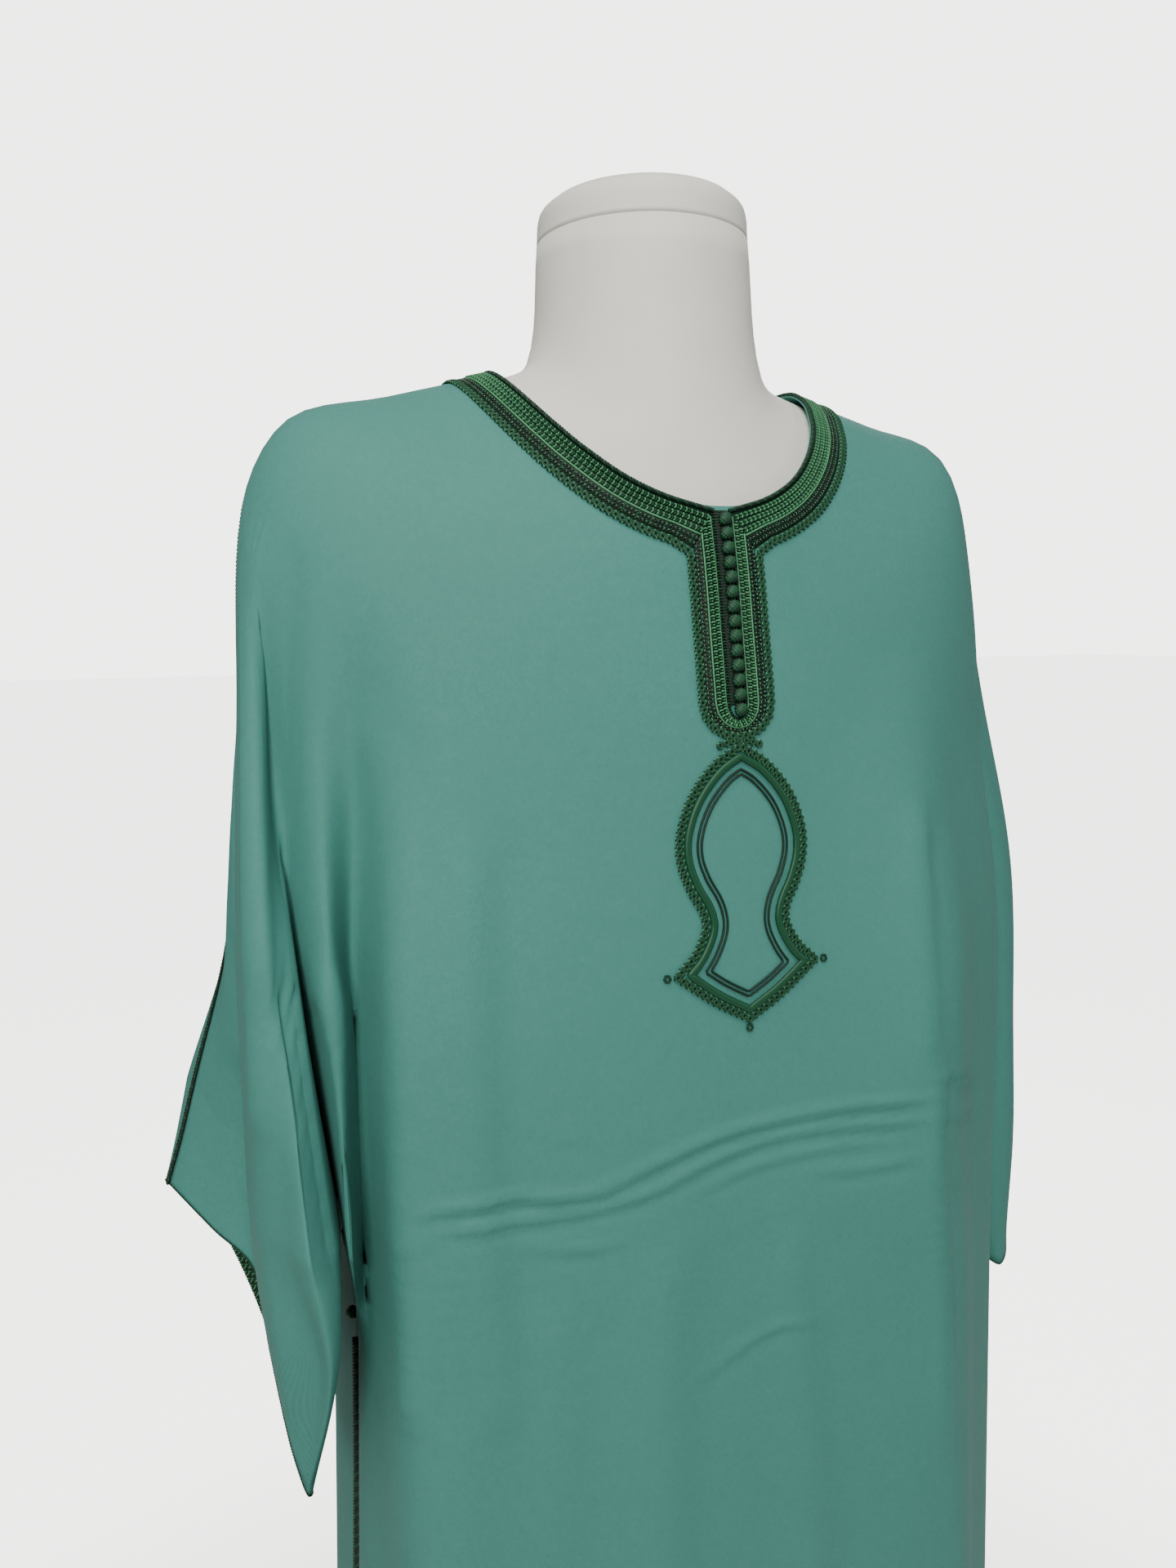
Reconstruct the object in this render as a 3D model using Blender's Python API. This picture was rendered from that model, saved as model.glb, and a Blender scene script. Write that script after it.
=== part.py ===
"""Djellaba robe hanging on a limbless dress form.

The robe is a front and a back, each cut like a T with half of both sleeves. Their outer
surface is one grid of folds that runs from the neckline to the hem and to the cuffs, and the
walls, the braids and the cords are all worked out from it. Metres, Z up. The origin is under
the middle of the stand, on the floor. The robe faces -Y and the wearer's right is -X.
"""
import math

import bpy
import numpy as np
from mathutils import Vector
from mathutils.bvhtree import BVHTree

# Driving sizes
NECK_HEIGHT = 1.470        # floor to the robe at the side of the neck
WALL = 0.0015              # cloth
GAP = 0.0003               # between pieces that touch
SEAM_SHIFT = GAP / 2       # each side of a seam draws back by this
TRIM_LIFT = 0.0004         # underside of a trim above the cloth

# Level rings of the cloth before it folds: half width, reach to the front and back, and the
# drop below the side of the neck at the side, the front and the back. A roundness of 2 is an
# ellipse, and more is squarer.
RINGS = (
    # name        width  front   back   side   front   back (drops)  roundness
    ("neck",      0.094, 0.097, 0.072, 0.008, 0.086, -0.004, 2.15),
    ("yoke",      0.150, 0.104, 0.092, 0.0225, 0.116, 0.022, 2.05),
    ("shoulder",  0.203, 0.110, 0.104, 0.037, 0.150, 0.060, 2.0),
    ("arm",       0.228, 0.117, 0.112, 0.082, 0.192, 0.115, 2.0),
    ("chest",     0.234, 0.124, 0.117, 0.190, 0.262, 0.205, 2.1),
    ("rib",       0.238, 0.131, 0.120, 0.310, 0.350, 0.320, 2.3),
)
DROP_POWER = 1.6           # how late the drop turns from side to front

# Folds, in order from the middle of the front round to the middle of the back. The angle is
# the fold's place on the rings, from 90 in front through 0 at the side to -90 behind. The
# shares are how much of the fold is already there at the chest and at the rib. Then come its
# place out from the middle, its place to the back, and its drop, at the armpit, lower, and
# at its end, which is the hem for the body and the cuff for the sleeve.
HEM = 1.395
CENTRE_FRONT = ("c", 90, 0.0, 0.0, (0.000, -0.137, 0.455), (0.000, -0.140, 0.545), (0.000, -0.166, HEM))
CENTRE_BACK = ("d", -90, 0.0, 0.0, (0.000, 0.118, 0.455), (0.000, 0.119, 0.545), (0.000, 0.142, HEM))
NEAR = dict(
    word="near",
    sign=-1,
    narrowing=(0, 0, 0, 0, 0, 0),
    braid_from=7,          # grid step from the underarm at which the cuff braid starts
    body_front=(
        # name  angle chest rib    armpit                    lower                     end
        ("_b1", 78, 0.0, 0.3, (0.058, -0.1385, 0.455), (0.059, -0.142, 0.545), (0.068, -0.177, HEM)),
        ("_b2", 63, 0.2, 0.6, (0.122, -0.1315, 0.455), (0.123, -0.133, 0.545), (0.128, -0.150, HEM)),
        ("_b3", 48, 0.3, 0.7, (0.176, -0.122, 0.455), (0.177, -0.124, 0.545), (0.190, -0.156, HEM)),
        ("_b4", 38, 0.45, 0.8, (0.191, -0.062, 0.455), (0.191, -0.072, 0.545), (0.205, -0.090, HEM)),
        ("_b5", 30, 0.1, 0.6, (0.203, -0.098, 0.455), (0.194, -0.052, 0.540), (0.230, -0.066, HEM)),
    ),
    underarm=("_g", 22, 0.0, 0.1, (0.197, -0.010, 0.460)),
    side_seam=((0.188, -0.020, 0.530), (0.219, 0.002, HEM)),
    sleeve_seam=((0.208, -0.032, 0.530), (0.2260, -0.044, 0.596)),
    sleeve_front=(
        ("_s1", 17, 0.0, 0.5, (0.2095, -0.106, 0.445), (0.212, -0.107, 0.502), (0.2235, -0.066, 0.597)),
        ("_s2", 13, 0.15, 0.55, (0.225, -0.122, 0.440), (0.2175, -0.115, 0.502), (0.2270, -0.078, 0.590)),
        ("_s3", 9, 0.3, 0.75, (0.235, -0.101, 0.440), (0.222, -0.101, 0.504), (0.2300, -0.080, 0.580)),
        ("_s4", 5, 0.4, 0.85, (0.2455, -0.078, 0.440), (0.240, -0.087, 0.498), (0.2350, -0.078, 0.556)),
        ("_s5", 1, 0.45, 0.9, (0.2460, -0.032, 0.435), (0.2445, -0.042, 0.484), (0.2400, -0.048, 0.524)),
        ("_s6", -2, 0.2, 0.75, (0.2400, -0.002, 0.430), (0.2430, -0.008, 0.468), (0.2440, -0.018, 0.494)),
        ("_s7", -5, 0.1, 0.5, (0.2560, 0.018, 0.420), (0.260, 0.014, 0.454), (0.263, 0.008, 0.480)),
    ),
    overarm=("_o", -8, 0.04, 0.24, (0.2680, 0.038, 0.405), (0.2765, 0.039, 0.436), (0.2850, 0.040, 0.463)),
    sleeve_back=(
        ("_t1", -13, 0.04, 0.24, (0.2700, 0.064, 0.410), (0.277, 0.066, 0.446), (0.283, 0.070, 0.480)),
        ("_t2", -20, 0.0, 0.3, (0.2460, 0.088, 0.430), (0.249, 0.090, 0.480), (0.252, 0.092, 0.528)),
        ("_t3", -28, 0.0, 0.3, (0.2160, 0.062, 0.448), (0.219, 0.056, 0.522), (0.229, 0.040, 0.580)),
    ),
    underarm_back=("_h", -35, 0.0, 0.2, (0.197, -0.010, 0.460)),
    body_back=(
        ("_k1", -46, 0.0, 0.3, (0.188, 0.066, 0.458), (0.189, 0.064, 0.545), (0.214, 0.082, HEM)),
        ("_k2", -59, 0.1, 0.4, (0.146, 0.097, 0.455), (0.147, 0.098, 0.545), (0.163, 0.108, HEM)),
        ("_k3", -73, 0.0, 0.3, (0.080, 0.1215, 0.455), (0.081, 0.123, 0.545), (0.094, 0.158, HEM)),
    ),
)
FAR = dict(
    word="far",
    sign=1,
    narrowing=(0, 0, 0.002, 0.011, 0.009, 0.004),
    braid_from=1,
    body_front=(
        ("_b1", 78, 0.0, 0.2, (0.056, -0.1375, 0.455), (0.057, -0.139, 0.545), (0.064, -0.157, HEM)),
        ("_b2", 62, 0.6, 0.9, (0.126, -0.1330, 0.455), (0.138, -0.130, 0.545), (0.160, -0.160, HEM)),
        ("_b3", 47, 0.4, 0.8, (0.178, -0.090, 0.455), (0.186, -0.088, 0.545), (0.198, -0.104, HEM)),
        ("_b4", 33, 0.4, 0.8, (0.2350, -0.042, 0.455), (0.240, -0.036, 0.545), (0.250, -0.048, HEM)),
    ),
    underarm=("_g", 20, 0.0, 0.35, (0.203, 0.004, 0.460)),
    side_seam=((0.206, 0.006, 0.540), (0.222, 0.012, HEM)),
    sleeve_seam=((0.232, 0.000, 0.560), (0.268, 0.000, 0.606)),
    sleeve_front=(
        ("_s1", 15, 0.1, 0.6, (0.244, -0.006, 0.455), (0.258, -0.014, 0.548), (0.277, -0.010, 0.612)),
        ("_s2", 10, 0.2, 0.7, (0.274, -0.014, 0.450), (0.280, -0.012, 0.535), (0.288, -0.004, 0.606)),
        ("_s3", 5, 0.4, 0.8, (0.292, 0.004, 0.440), (0.297, 0.006, 0.516), (0.2975, 0.014, 0.574)),
        ("_s4", 0, 0.2, 0.6, (0.288, 0.034, 0.430), (0.291, 0.036, 0.486), (0.292, 0.040, 0.526)),
    ),
    overarm=("_o", -6, 0.1, 0.5, (0.274, 0.060, 0.418), (0.277, 0.063, 0.450), (0.279, 0.066, 0.478)),
    sleeve_back=(
        ("_t1", -13, 0.0, 0.4, (0.260, 0.086, 0.420), (0.262, 0.088, 0.462), (0.264, 0.090, 0.500)),
        ("_t2", -20, 0.0, 0.3, (0.232, 0.084, 0.435), (0.238, 0.082, 0.495), (0.248, 0.078, 0.545)),
        ("_t3", -28, 0.0, 0.3, (0.214, 0.050, 0.450), (0.232, 0.042, 0.535), (0.264, 0.030, 0.592)),
    ),
    underarm_back=("_h", -35, 0.0, 0.2, (0.203, 0.004, 0.460)),
    body_back=(
        ("_k1", -46, 0.0, 0.3, (0.194, 0.070, 0.458), (0.196, 0.068, 0.545), (0.220, 0.074, HEM)),
        ("_k2", -60, 0.1, 0.4, (0.142, 0.106, 0.455), (0.143, 0.108, 0.545), (0.158, 0.140, HEM)),
        ("_k3", -74, 0.0, 0.3, (0.074, 0.1135, 0.455), (0.075, 0.114, 0.545), (0.086, 0.128, HEM)),
    ),
)

# Grid steps between the rings and levels, and between neighbouring folds
UPPER_STEPS = (2, 2, 2, 3, 3, 4)
BODY_STEPS = (3, 10)
SLEEVE_STEPS = (3, 2)
FOLD_STEPS = 2
CUFF_BRAID_WIDTH = 0.0125  # the last grid step of the sleeves
SLIT_ROWS = (3, 6)          # body rows between which each side seam is left open
SLIT_PARTING = (0, 0.0004, 0.0042)
UNDERARM_SPLIT = 0.0017    # front and back part by this each way above the armpit
SEAM_SHARPNESS = (0, 0, 0, 0, 0, 0.3, 1)

CLOTH_COLOUR = (0.082, 0.246, 0.206, 1)
BRAID_COLOUR = (0.008, 0.062, 0.026, 1)
FORM_COLOUR = (0.62, 0.61, 0.58, 1)
METAL_COLOUR = (0.30, 0.30, 0.31, 1)


def clear_scene():
    for item in list(bpy.data.objects):
        bpy.data.objects.remove(item, do_unlink=True)


def material(name, colour, roughness, metallic=0.0):
    made = bpy.data.materials.new(name)
    made.use_nodes = True
    shader = made.node_tree.nodes["Principled BSDF"]
    shader.inputs["Base Color"].default_value = colour
    shader.inputs["Roughness"].default_value = roughness
    shader.inputs["Metallic"].default_value = metallic
    return made


def add_solid(name, vertices, faces, look):
    mesh = bpy.data.meshes.new(name)
    mesh.from_pydata([tuple(v) for v in vertices], [], faces)
    mesh.validate()
    mesh.shade_smooth()
    mesh.materials.append(look)
    solid = bpy.data.objects.new(name, mesh)
    bpy.context.scene.collection.objects.link(solid)
    return solid


def unit(vectors):
    length = np.linalg.norm(vectors, axis=-1, keepdims=True)
    return vectors / np.maximum(length, 1e-9)


def smooth_through(points, steps, closed=False, sharp=None):
    """Curve through points on the second last axis, with steps[i] pieces after point i.

    sharp gives, for each point, how far its tangent follows its own side only."""
    count = points.shape[-2]
    if closed:
        before, after = np.roll(points, 1, axis=-2), np.roll(points, -1, axis=-2)
    else:
        before = np.concatenate([points[..., :1, :], points[..., :-1, :]], axis=-2)
        after = np.concatenate([points[..., 1:, :], points[..., -1:, :]], axis=-2)
    back_length = np.linalg.norm(points - before, axis=-1, keepdims=True) + 1e-9
    next_length = np.linalg.norm(after - points, axis=-1, keepdims=True) + 1e-9
    back_slope = (points - before) / back_length
    next_slope = (after - points) / next_length
    if not closed:
        back_slope[..., 0, :] = next_slope[..., 0, :]
        next_slope[..., -1, :] = back_slope[..., -1, :]
        back_length[..., 0, :] = next_length[..., 0, :]
        next_length[..., -1, :] = back_length[..., -1, :]
    tangent = (back_slope * back_length + next_slope * next_length) / (back_length + next_length)
    corner = np.zeros(count) if sharp is None else sharp
    corner = corner[..., None]
    leaving = tangent + (next_slope - tangent) * corner
    arriving = tangent + (back_slope - tangent) * corner
    pieces = []
    for i in range(count if closed else count - 1):
        j = (i + 1) % count
        chord = next_length[..., i, :]
        for step in range(steps[i]):
            t = step / steps[i]
            pieces.append((2 * t**3 - 3 * t**2 + 1) * points[..., i, :]
                          + (t**3 - 2 * t**2 + t) * chord * leaving[..., i, :]
                          + (3 * t**2 - 2 * t**3) * points[..., j, :]
                          + (t**3 - t**2) * chord * arriving[..., j, :])
    if not closed:
        pieces.append(points[..., -1, :])
    return np.stack(pieces, axis=-2)


def ring_place(sign, angle, ring):
    """Point of an unfolded ring, as x, y and drop."""
    _, width, front, back, side_drop, front_drop, back_drop, roundness = ring
    along = abs(math.cos(math.radians(angle)))
    across = abs(math.sin(math.radians(angle)))
    reach, end_drop = (-front, front_drop) if angle > 0 else (back, back_drop)
    return np.array([sign * width * along ** (2 / roundness),
                     reach * across ** (2 / roundness),
                     side_drop + (end_drop - side_drop) * across ** DROP_POWER])


def upper_levels(sign, fold, narrowing):
    """Points of a fold line on the six rings, narrowed on its side, and at the armpit."""
    _, angle, chest_share, rib_share, armpit = fold[:5]
    levels = [ring_place(sign, angle, (ring[0], ring[1] - less) + ring[2:])
              for ring, less in zip(RINGS, narrowing)]
    armpit = np.array([sign * armpit[0], armpit[1], armpit[2]])
    shift = armpit - levels[-1]
    shift[2] = 0
    levels[-2] = levels[-2] + chest_share * shift
    levels[-1] = levels[-1] + rib_share * shift
    return levels + [armpit]


def chain(*runs):
    """One closed ring as (name, next name, panel), from runs of fold names and their panel."""
    ring = []
    for names, panel in runs:
        ring += [(name, after, panel) for name, after in zip(names[:-1], names[1:])]
    return ring


class Robe:
    """Outer surface of the robe: points, normals, and faces marked front or back.

    The upper stage is one closed ring of folds from the neckline to the armpits. Below them
    come three more closed rings: the body down to the hem, and each sleeve down to its cuff.
    A point's key is its stage, its row and its place on the ring."""

    def __init__(self, fold_steps, upper_steps, body_steps, sleeve_steps):
        self.fold_steps = fold_steps
        self.armpit_row = sum(upper_steps)
        self.points = []
        self.index = {}
        self.faces = []
        self.panels = []
        self.cells = []
        self.columns = {}
        for fold in (CENTRE_FRONT, CENTRE_BACK):
            self.add_column(fold, NEAR, fold[0], "body", fold[5:])
        near, far = self.add_side(NEAR), self.add_side(FAR)
        far = {run: names[::-1] for run, names in far.items()}
        self.rings = {
            "upper": chain((near["body_front"], "front"), (near["sleeve_front"], "front"),
                           (near["sleeve_back"], "back"), (near["body_back"], "back"),
                           (far["body_back"], "back"), (far["sleeve_back"], "back"),
                           (far["sleeve_front"], "front"), (far["body_front"], "front")),
            "body": chain((near["body_front"], "front"), (near["body_back"], "back"),
                          (far["body_back"], "back"), (far["body_front"], "front")),
            "near_sleeve": chain((near["sleeve_front"], "front"), (near["sleeve_back"], "back")),
            "far_sleeve": chain((far["sleeve_back"], "back"), (far["sleeve_front"], "front")),
        }
        self.rows = {"upper": upper_steps, "body": body_steps,
                     "near_sleeve": sleeve_steps, "far_sleeve": sleeve_steps}
        for stage in self.rings:
            self.lay_ring(stage)
        self.points = np.array(self.points)
        self.points[:, 2] = NECK_HEIGHT - self.points[:, 2]
        self.faces = np.array(self.faces)
        self.panels = np.array(self.panels)
        self.normals = self.point_normals()
        self.parting = {}
        for word in ("near", "far"):
            for row, part in zip(range(*SLIT_ROWS), SLIT_PARTING):
                self.parting[self.index["body", row, word + "_g", 0]] = part

    def add_column(self, fold, side, name, stage, lower):
        sign = side["sign"]
        upper = upper_levels(sign, fold, side["narrowing"])
        self.columns["upper", name] = upper
        self.columns[stage, name] = upper[-1:] + [np.array([sign * x, y, drop])
                                                  for x, y, drop in lower]

    def add_side(self, side):
        """Lay the fold columns of one side, and give their names in four runs."""
        word = side["word"]
        body, sleeve = "body", word + "_sleeve"
        for run, stage in (("body_front", body), ("body_back", body),
                           ("sleeve_front", sleeve), ("sleeve_back", sleeve)):
            for fold in side[run]:
                self.add_column(fold, side, word + fold[0], stage, fold[5:])
        arm = side["overarm"]
        self.add_column(arm, side, word + arm[0], sleeve, arm[5:])
        seams = []
        for fold, split in ((side["underarm"], -UNDERARM_SPLIT),
                            (side["underarm_back"], UNDERARM_SPLIT)):
            name = word + fold[0]
            self.add_column(fold, side, name, body, side["side_seam"])
            self.add_column(fold, side, name, sleeve, side["sleeve_seam"])
            self.columns["upper", name][-1] = self.columns["upper", name][-1] + (0, split, 0)
            seams.append(name)
        names = {run: [word + fold[0] for fold in side[run]]
                 for run in ("body_front", "sleeve_front", "sleeve_back", "body_back")}
        return {"body_front": [CENTRE_FRONT[0]] + names["body_front"] + seams[:1],
                "sleeve_front": seams[:1] + names["sleeve_front"] + [word + arm[0]],
                "sleeve_back": [word + arm[0]] + names["sleeve_back"] + seams[1:],
                "body_back": seams[1:] + names["body_back"] + [CENTRE_BACK[0]]}

    def key(self, stage, row, place, step):
        """Key of a grid point: step counts from the fold that opens this place of the ring."""
        start, stop, panel = place
        if stage != "upper" and row == 0:
            stage, row = "upper", self.armpit_row
        if 0 < step < self.fold_steps:
            return stage, row, start, step
        name = stop if step else start
        below_armpit = stage != "upper"
        if below_armpit and name.endswith("_h"):
            name = name[:-1] + "g"
        return stage, row, name, 0

    def lay_ring(self, stage):
        """Lay the rows of one ring and the faces between them."""
        ring, steps = self.rings[stage], self.rows[stage]
        names = [start for start, _, _ in ring]
        rows = smooth_through(np.array([self.columns[stage, name] for name in names]), steps)
        if stage.endswith("sleeve"):
            for line in rows:
                line[-2] = along(line[::-1], CUFF_BRAID_WIDTH)
        sharpness = np.ones(rows.shape[1])
        if stage == "upper":
            levels = np.concatenate([[0], np.cumsum(steps)])
            sharpness = np.interp(np.arange(rows.shape[1]), levels, SEAM_SHARPNESS)
        is_seam = np.array([name[-2:] in ("_g", "_h") for name in names], float)
        grid = smooth_through(rows.transpose(1, 0, 2), [self.fold_steps] * len(ring),
                              closed=True, sharp=sharpness[:, None] * is_seam)
        for i, place in enumerate(ring):
            for row in range(grid.shape[0]):
                for step in range(self.fold_steps + 1):
                    key = self.key(stage, row, place, step)
                    if key not in self.index:
                        self.index[key] = len(self.points)
                        self.points.append(grid[row, (i * self.fold_steps + step) % grid.shape[1]])
            for row in range(grid.shape[0] - 1):
                for step in range(self.fold_steps):
                    corners = ((row, step), (row, step + 1), (row + 1, step + 1), (row + 1, step))
                    self.faces.append([self.index[self.key(stage, r, place, s)]
                                       for r, s in corners])
                    self.panels.append(place[2])
                    self.cells.append((stage, row, i * self.fold_steps + step))

    def point_normals(self):
        corners = self.points[self.faces]
        face_normals = np.cross(corners[:, 2] - corners[:, 0], corners[:, 3] - corners[:, 1])
        normals = np.zeros_like(self.points)
        for corner in range(4):
            np.add.at(normals, self.faces[:, corner], face_normals)
        return unit(normals)

    def panel(self, name):
        """Faces and outer points of one panel, drawn back from its seams with the other."""
        faces = self.faces[self.panels == name]
        others = set(self.faces[self.panels != name].ravel())
        points = self.points.copy()
        seam = {i for i in faces.ravel() if i in others}
        along = {i: np.zeros(3) for i in seam}
        inward = {i: np.zeros(3) for i in seam}
        for face in faces:
            for a, b in zip(face, np.roll(face, -1)):
                for here, there in ((a, b), (b, a)):
                    if here in seam:
                        step = self.points[there] - self.points[here]
                        if there in seam:
                            along[here] += step * np.sign(step[2])
                        else:
                            inward[here] += step
        for i in seam:
            across = np.cross(self.normals[i], unit(along[i]))
            shift = SEAM_SHIFT + self.parting.get(i, 0)
            points[i] += shift * unit(across) * np.sign(across @ inward[i])
        return faces, points


def along(line, distance):
    """Point at a distance from the start of a line of points."""
    run = np.concatenate([[0], np.cumsum(np.linalg.norm(np.diff(line, axis=0), axis=1))])
    return np.array([np.interp(distance, run, values) for values in line.T])


def split_faces(faces):
    """Each four-sided face as two triangles."""
    return [three for a, b, c, d in faces.tolist() for three in ((a, b, c), (a, c, d))]


def walled(faces, outer, inner):
    """Closed shell between an outer and an inner copy of the same four-sided faces."""
    used = np.unique(faces)
    renumber = {old: new for new, old in enumerate(used)}
    outside = [tuple(renumber[i] for i in face) for face in split_faces(faces)]
    count = len(used)
    shell = list(outside)
    shell += [tuple(i + count for i in reversed(face)) for face in outside]
    edges = {(a, b) for face in outside for a, b in zip(face, face[1:] + face[:1])}
    shell += [(b, a, a + count, b + count) for a, b in edges if (b, a) not in edges]
    return np.concatenate([outer[used], inner[used]]), shell


def slab(top, bottom, closed=False):
    """Closed band: rows of points over its top and rows of points under it, end to end."""
    rings = np.concatenate([top, bottom[:, ::-1]], axis=1)
    count, size = rings.shape[:2]
    faces = []
    for i in range(count if closed else count - 1):
        here, there = i * size, (i + 1) % count * size
        for j in range(size):
            k = (j + 1) % size
            faces.append((here + j, here + k, there + k, there + j))
    if not closed:
        faces.append(tuple(range(size))[::-1])
        faces.append(tuple((count - 1) * size + j for j in range(size)))
    return rings.reshape(-1, 3), faces


def turned_out(vertices, faces):
    """Faces of a closed solid, turned over if they point in."""
    volume = sum(vertices[f[0]] @ np.cross(vertices[f[i]], vertices[f[i + 1]])
                 for f in faces for i in range(1, len(f) - 1))
    return [face[::-1] for face in faces] if volume < 0 else faces


def add_band(name, top, bottom, look, closed=False):
    vertices, faces = slab(np.array(top), np.array(bottom), closed)
    return add_solid(name, vertices, turned_out(vertices, faces), look)


def add_lofted(name, rings, look):
    """Add a closed solid through rings of points from one end to the other."""
    count, size = rings.shape[:2]
    faces = [tuple(range(size)), tuple((count - 1) * size + j for j in range(size))[::-1]]
    for i in range(count - 1):
        for j in range(size):
            k = (j + 1) % size
            faces.append((i * size + j, (i + 1) * size + j, (i + 1) * size + k, i * size + k))
    vertices = rings.reshape(-1, 3)
    return add_solid(name, vertices, turned_out(vertices, faces), look)


def add_turned(name, profile, segments, look):
    """Add a solid turned round the middle from (radius, height) pairs."""
    turns = np.linspace(0, 2 * math.pi, segments, endpoint=False)
    rings = [[(radius * math.cos(turn), radius * math.sin(turn), height) for turn in turns]
             for radius, height in profile]
    return add_lofted(name, np.array(rings), look)


def half_round(width, height, steps):
    """Offsets (across, up) over the top of a cord that lies flat on the cloth."""
    turns = np.linspace(math.pi, 0, steps + 1)
    return [(width / 2 * math.cos(turn), height * max(math.sin(turn), 0.15)) for turn in turns]


class Chest:
    """The front of the robe as a surface that trims are pressed on, by width and drop."""

    def __init__(self, faces, outer):
        self.tree = BVHTree.FromPolygons([Vector(p) for p in outer], split_faces(faces))

    def press(self, x, drop, lift):
        start = Vector((x, -1.0, NECK_HEIGHT - drop))
        place, normal, _, _ = self.tree.ray_cast(start, Vector((0, 1, 0)))
        return np.array(place + normal * lift)


# Neck braid and placket, measured across from the neck edge or the middle of the slit
BRAID_WIDTH = 0.0200
PICOT_WIDTH = 0.0036
BRAID_PROFILE = (          # share of the width, height over the lift
    (0.00, 0.0008), (0.12, 0.0020), (0.34, 0.0022), (0.60, 0.0022), (0.80, 0.0012), (1.00, 0.0008),
)
BRAID_FEET = (0.00, 0.50, 1.00)
PICOT_HEIGHT = 0.0010
SLIT_HALF = 0.0040         # the buttons' gap between the two placket bands
PLACKET_WIDTH = 0.0136
PLACKET_TOP = 0.0880       # drop of the notch
PLACKET_SIDE = 0.1860      # drop at which the placket starts to round
PLACKET_FOOT = (0.0053, 0.62)  # reach of the rounding down at the middle, and for each metre out
MITRE = 1.45               # drop for each metre out along the mitre at the notch
BUTTON_COUNT = 14
BUTTON_SIZE = 0.0072
BUTTON_PITCH = 0.0074
BUTTON_DEPTH = 0.82        # share of the size, front to back
BUTTON_SEAT = 0.42         # height of its middle, as a share of the size
BUTTON_FIRST = 0.0895
STRIP_HEIGHT = 0.0006


def placket_line(out):
    """Line down, round the foot and up the placket at one distance out, as (x, drop)."""
    top = PLACKET_TOP + MITRE * (out - SLIT_HALF) + GAP
    foot = PLACKET_FOOT[0] + PLACKET_FOOT[1] * out
    down = [(-out, drop) for drop in np.linspace(top, PLACKET_SIDE, 9)[:-1]]
    turns = np.linspace(math.pi, 0, 9)
    bend = [(out * math.cos(turn), PLACKET_SIDE + foot * math.sin(turn)) for turn in turns]
    return down + bend + [(-x, drop) for x, drop in reversed(down)]


def add_placket(chest, look):
    """Braid, looped edge and button strip of the placket."""
    def rows(outs, lifts):
        lines = [placket_line(out) for out in outs]
        return [[chest.press(*line[i], lift) for line, lift in zip(lines, lifts)]
                for i in range(len(lines[0]))]

    braid_out = [SLIT_HALF + share * PLACKET_WIDTH for share, _ in BRAID_PROFILE]
    feet = [SLIT_HALF + share * PLACKET_WIDTH for share in BRAID_FEET]
    add_band("placket_braid", rows(braid_out, [TRIM_LIFT + up for _, up in BRAID_PROFILE]),
             rows(feet, [TRIM_LIFT] * len(feet)), look)
    edge = SLIT_HALF + PLACKET_WIDTH + GAP
    picot = (edge, edge + PICOT_WIDTH)
    add_band("placket_picot", rows(picot, [TRIM_LIFT + PICOT_HEIGHT] * 2),
             rows(picot, [TRIM_LIFT] * 2), look)
    across = np.array([-1, 0, 1]) * (SLIT_HALF - GAP)
    drops = np.linspace(PLACKET_TOP + GAP, PLACKET_SIDE + SLIT_HALF / 3, 9)
    add_band("placket_strip", *([[chest.press(x, drop, lift) for x in across] for drop in drops]
                                for lift in (TRIM_LIFT + STRIP_HEIGHT, TRIM_LIFT)), look)


def add_buttons(chest, look):
    """Row of round knotted buttons down the slit."""
    for i in range(BUTTON_COUNT):
        drop = BUTTON_FIRST + BUTTON_SIZE / 2 + i * BUTTON_PITCH
        seat = chest.press(0, drop, TRIM_LIFT + STRIP_HEIGHT + GAP)
        bpy.ops.mesh.primitive_uv_sphere_add(segments=8, ring_count=5, radius=BUTTON_SIZE / 2,
                                             location=seat - np.array([0, BUTTON_SIZE * BUTTON_SEAT, 0]),
                                             rotation=(math.pi / 2, 0, 0))
        button = bpy.context.object
        button.name = f"button_{i + 1:02d}"
        button.scale = (1, 1, BUTTON_DEPTH)
        bpy.ops.object.transform_apply(location=False, rotation=False, scale=True)
        button.data.shade_smooth()
        button.data.materials.append(look)


# Motif under the placket: half width at each drop, down one side
MOTIF = (                  # half width, drop
    (0.0000, 0.2130), (0.0120, 0.2205), (0.0240, 0.2345), (0.0307, 0.2510), (0.0312, 0.2640),
    (0.0270, 0.2770), (0.0205, 0.2890), (0.0188, 0.2985), (0.0225, 0.3085), (0.0280, 0.3165),
    (0.0335, 0.3215), (0.0170, 0.3335), (0.0000, 0.3430),
)
MOTIF_CORNERS = (0, 10, 12)
MOTIF_STEPS = 2            # outline points for each row of the table
KNOTTED_CORNERS = {"near": 10, "foot": 12, "far": 14}
CORD_WIDTH = 0.0040
CORD_HEIGHT = 0.0016
LINE_WIDTH = 0.0028
LINE_HEIGHT = 0.0006
LINE_INSET = 0.0075
KNOT_RADIUS = 0.0024
KNOT_HEIGHT = 0.0014
MITRE_LIMIT = 0.55         # least cosine used to move a corner out
KEPT_SHARE = 0.93          # share of its distance that a kept point has from the outline


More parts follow.
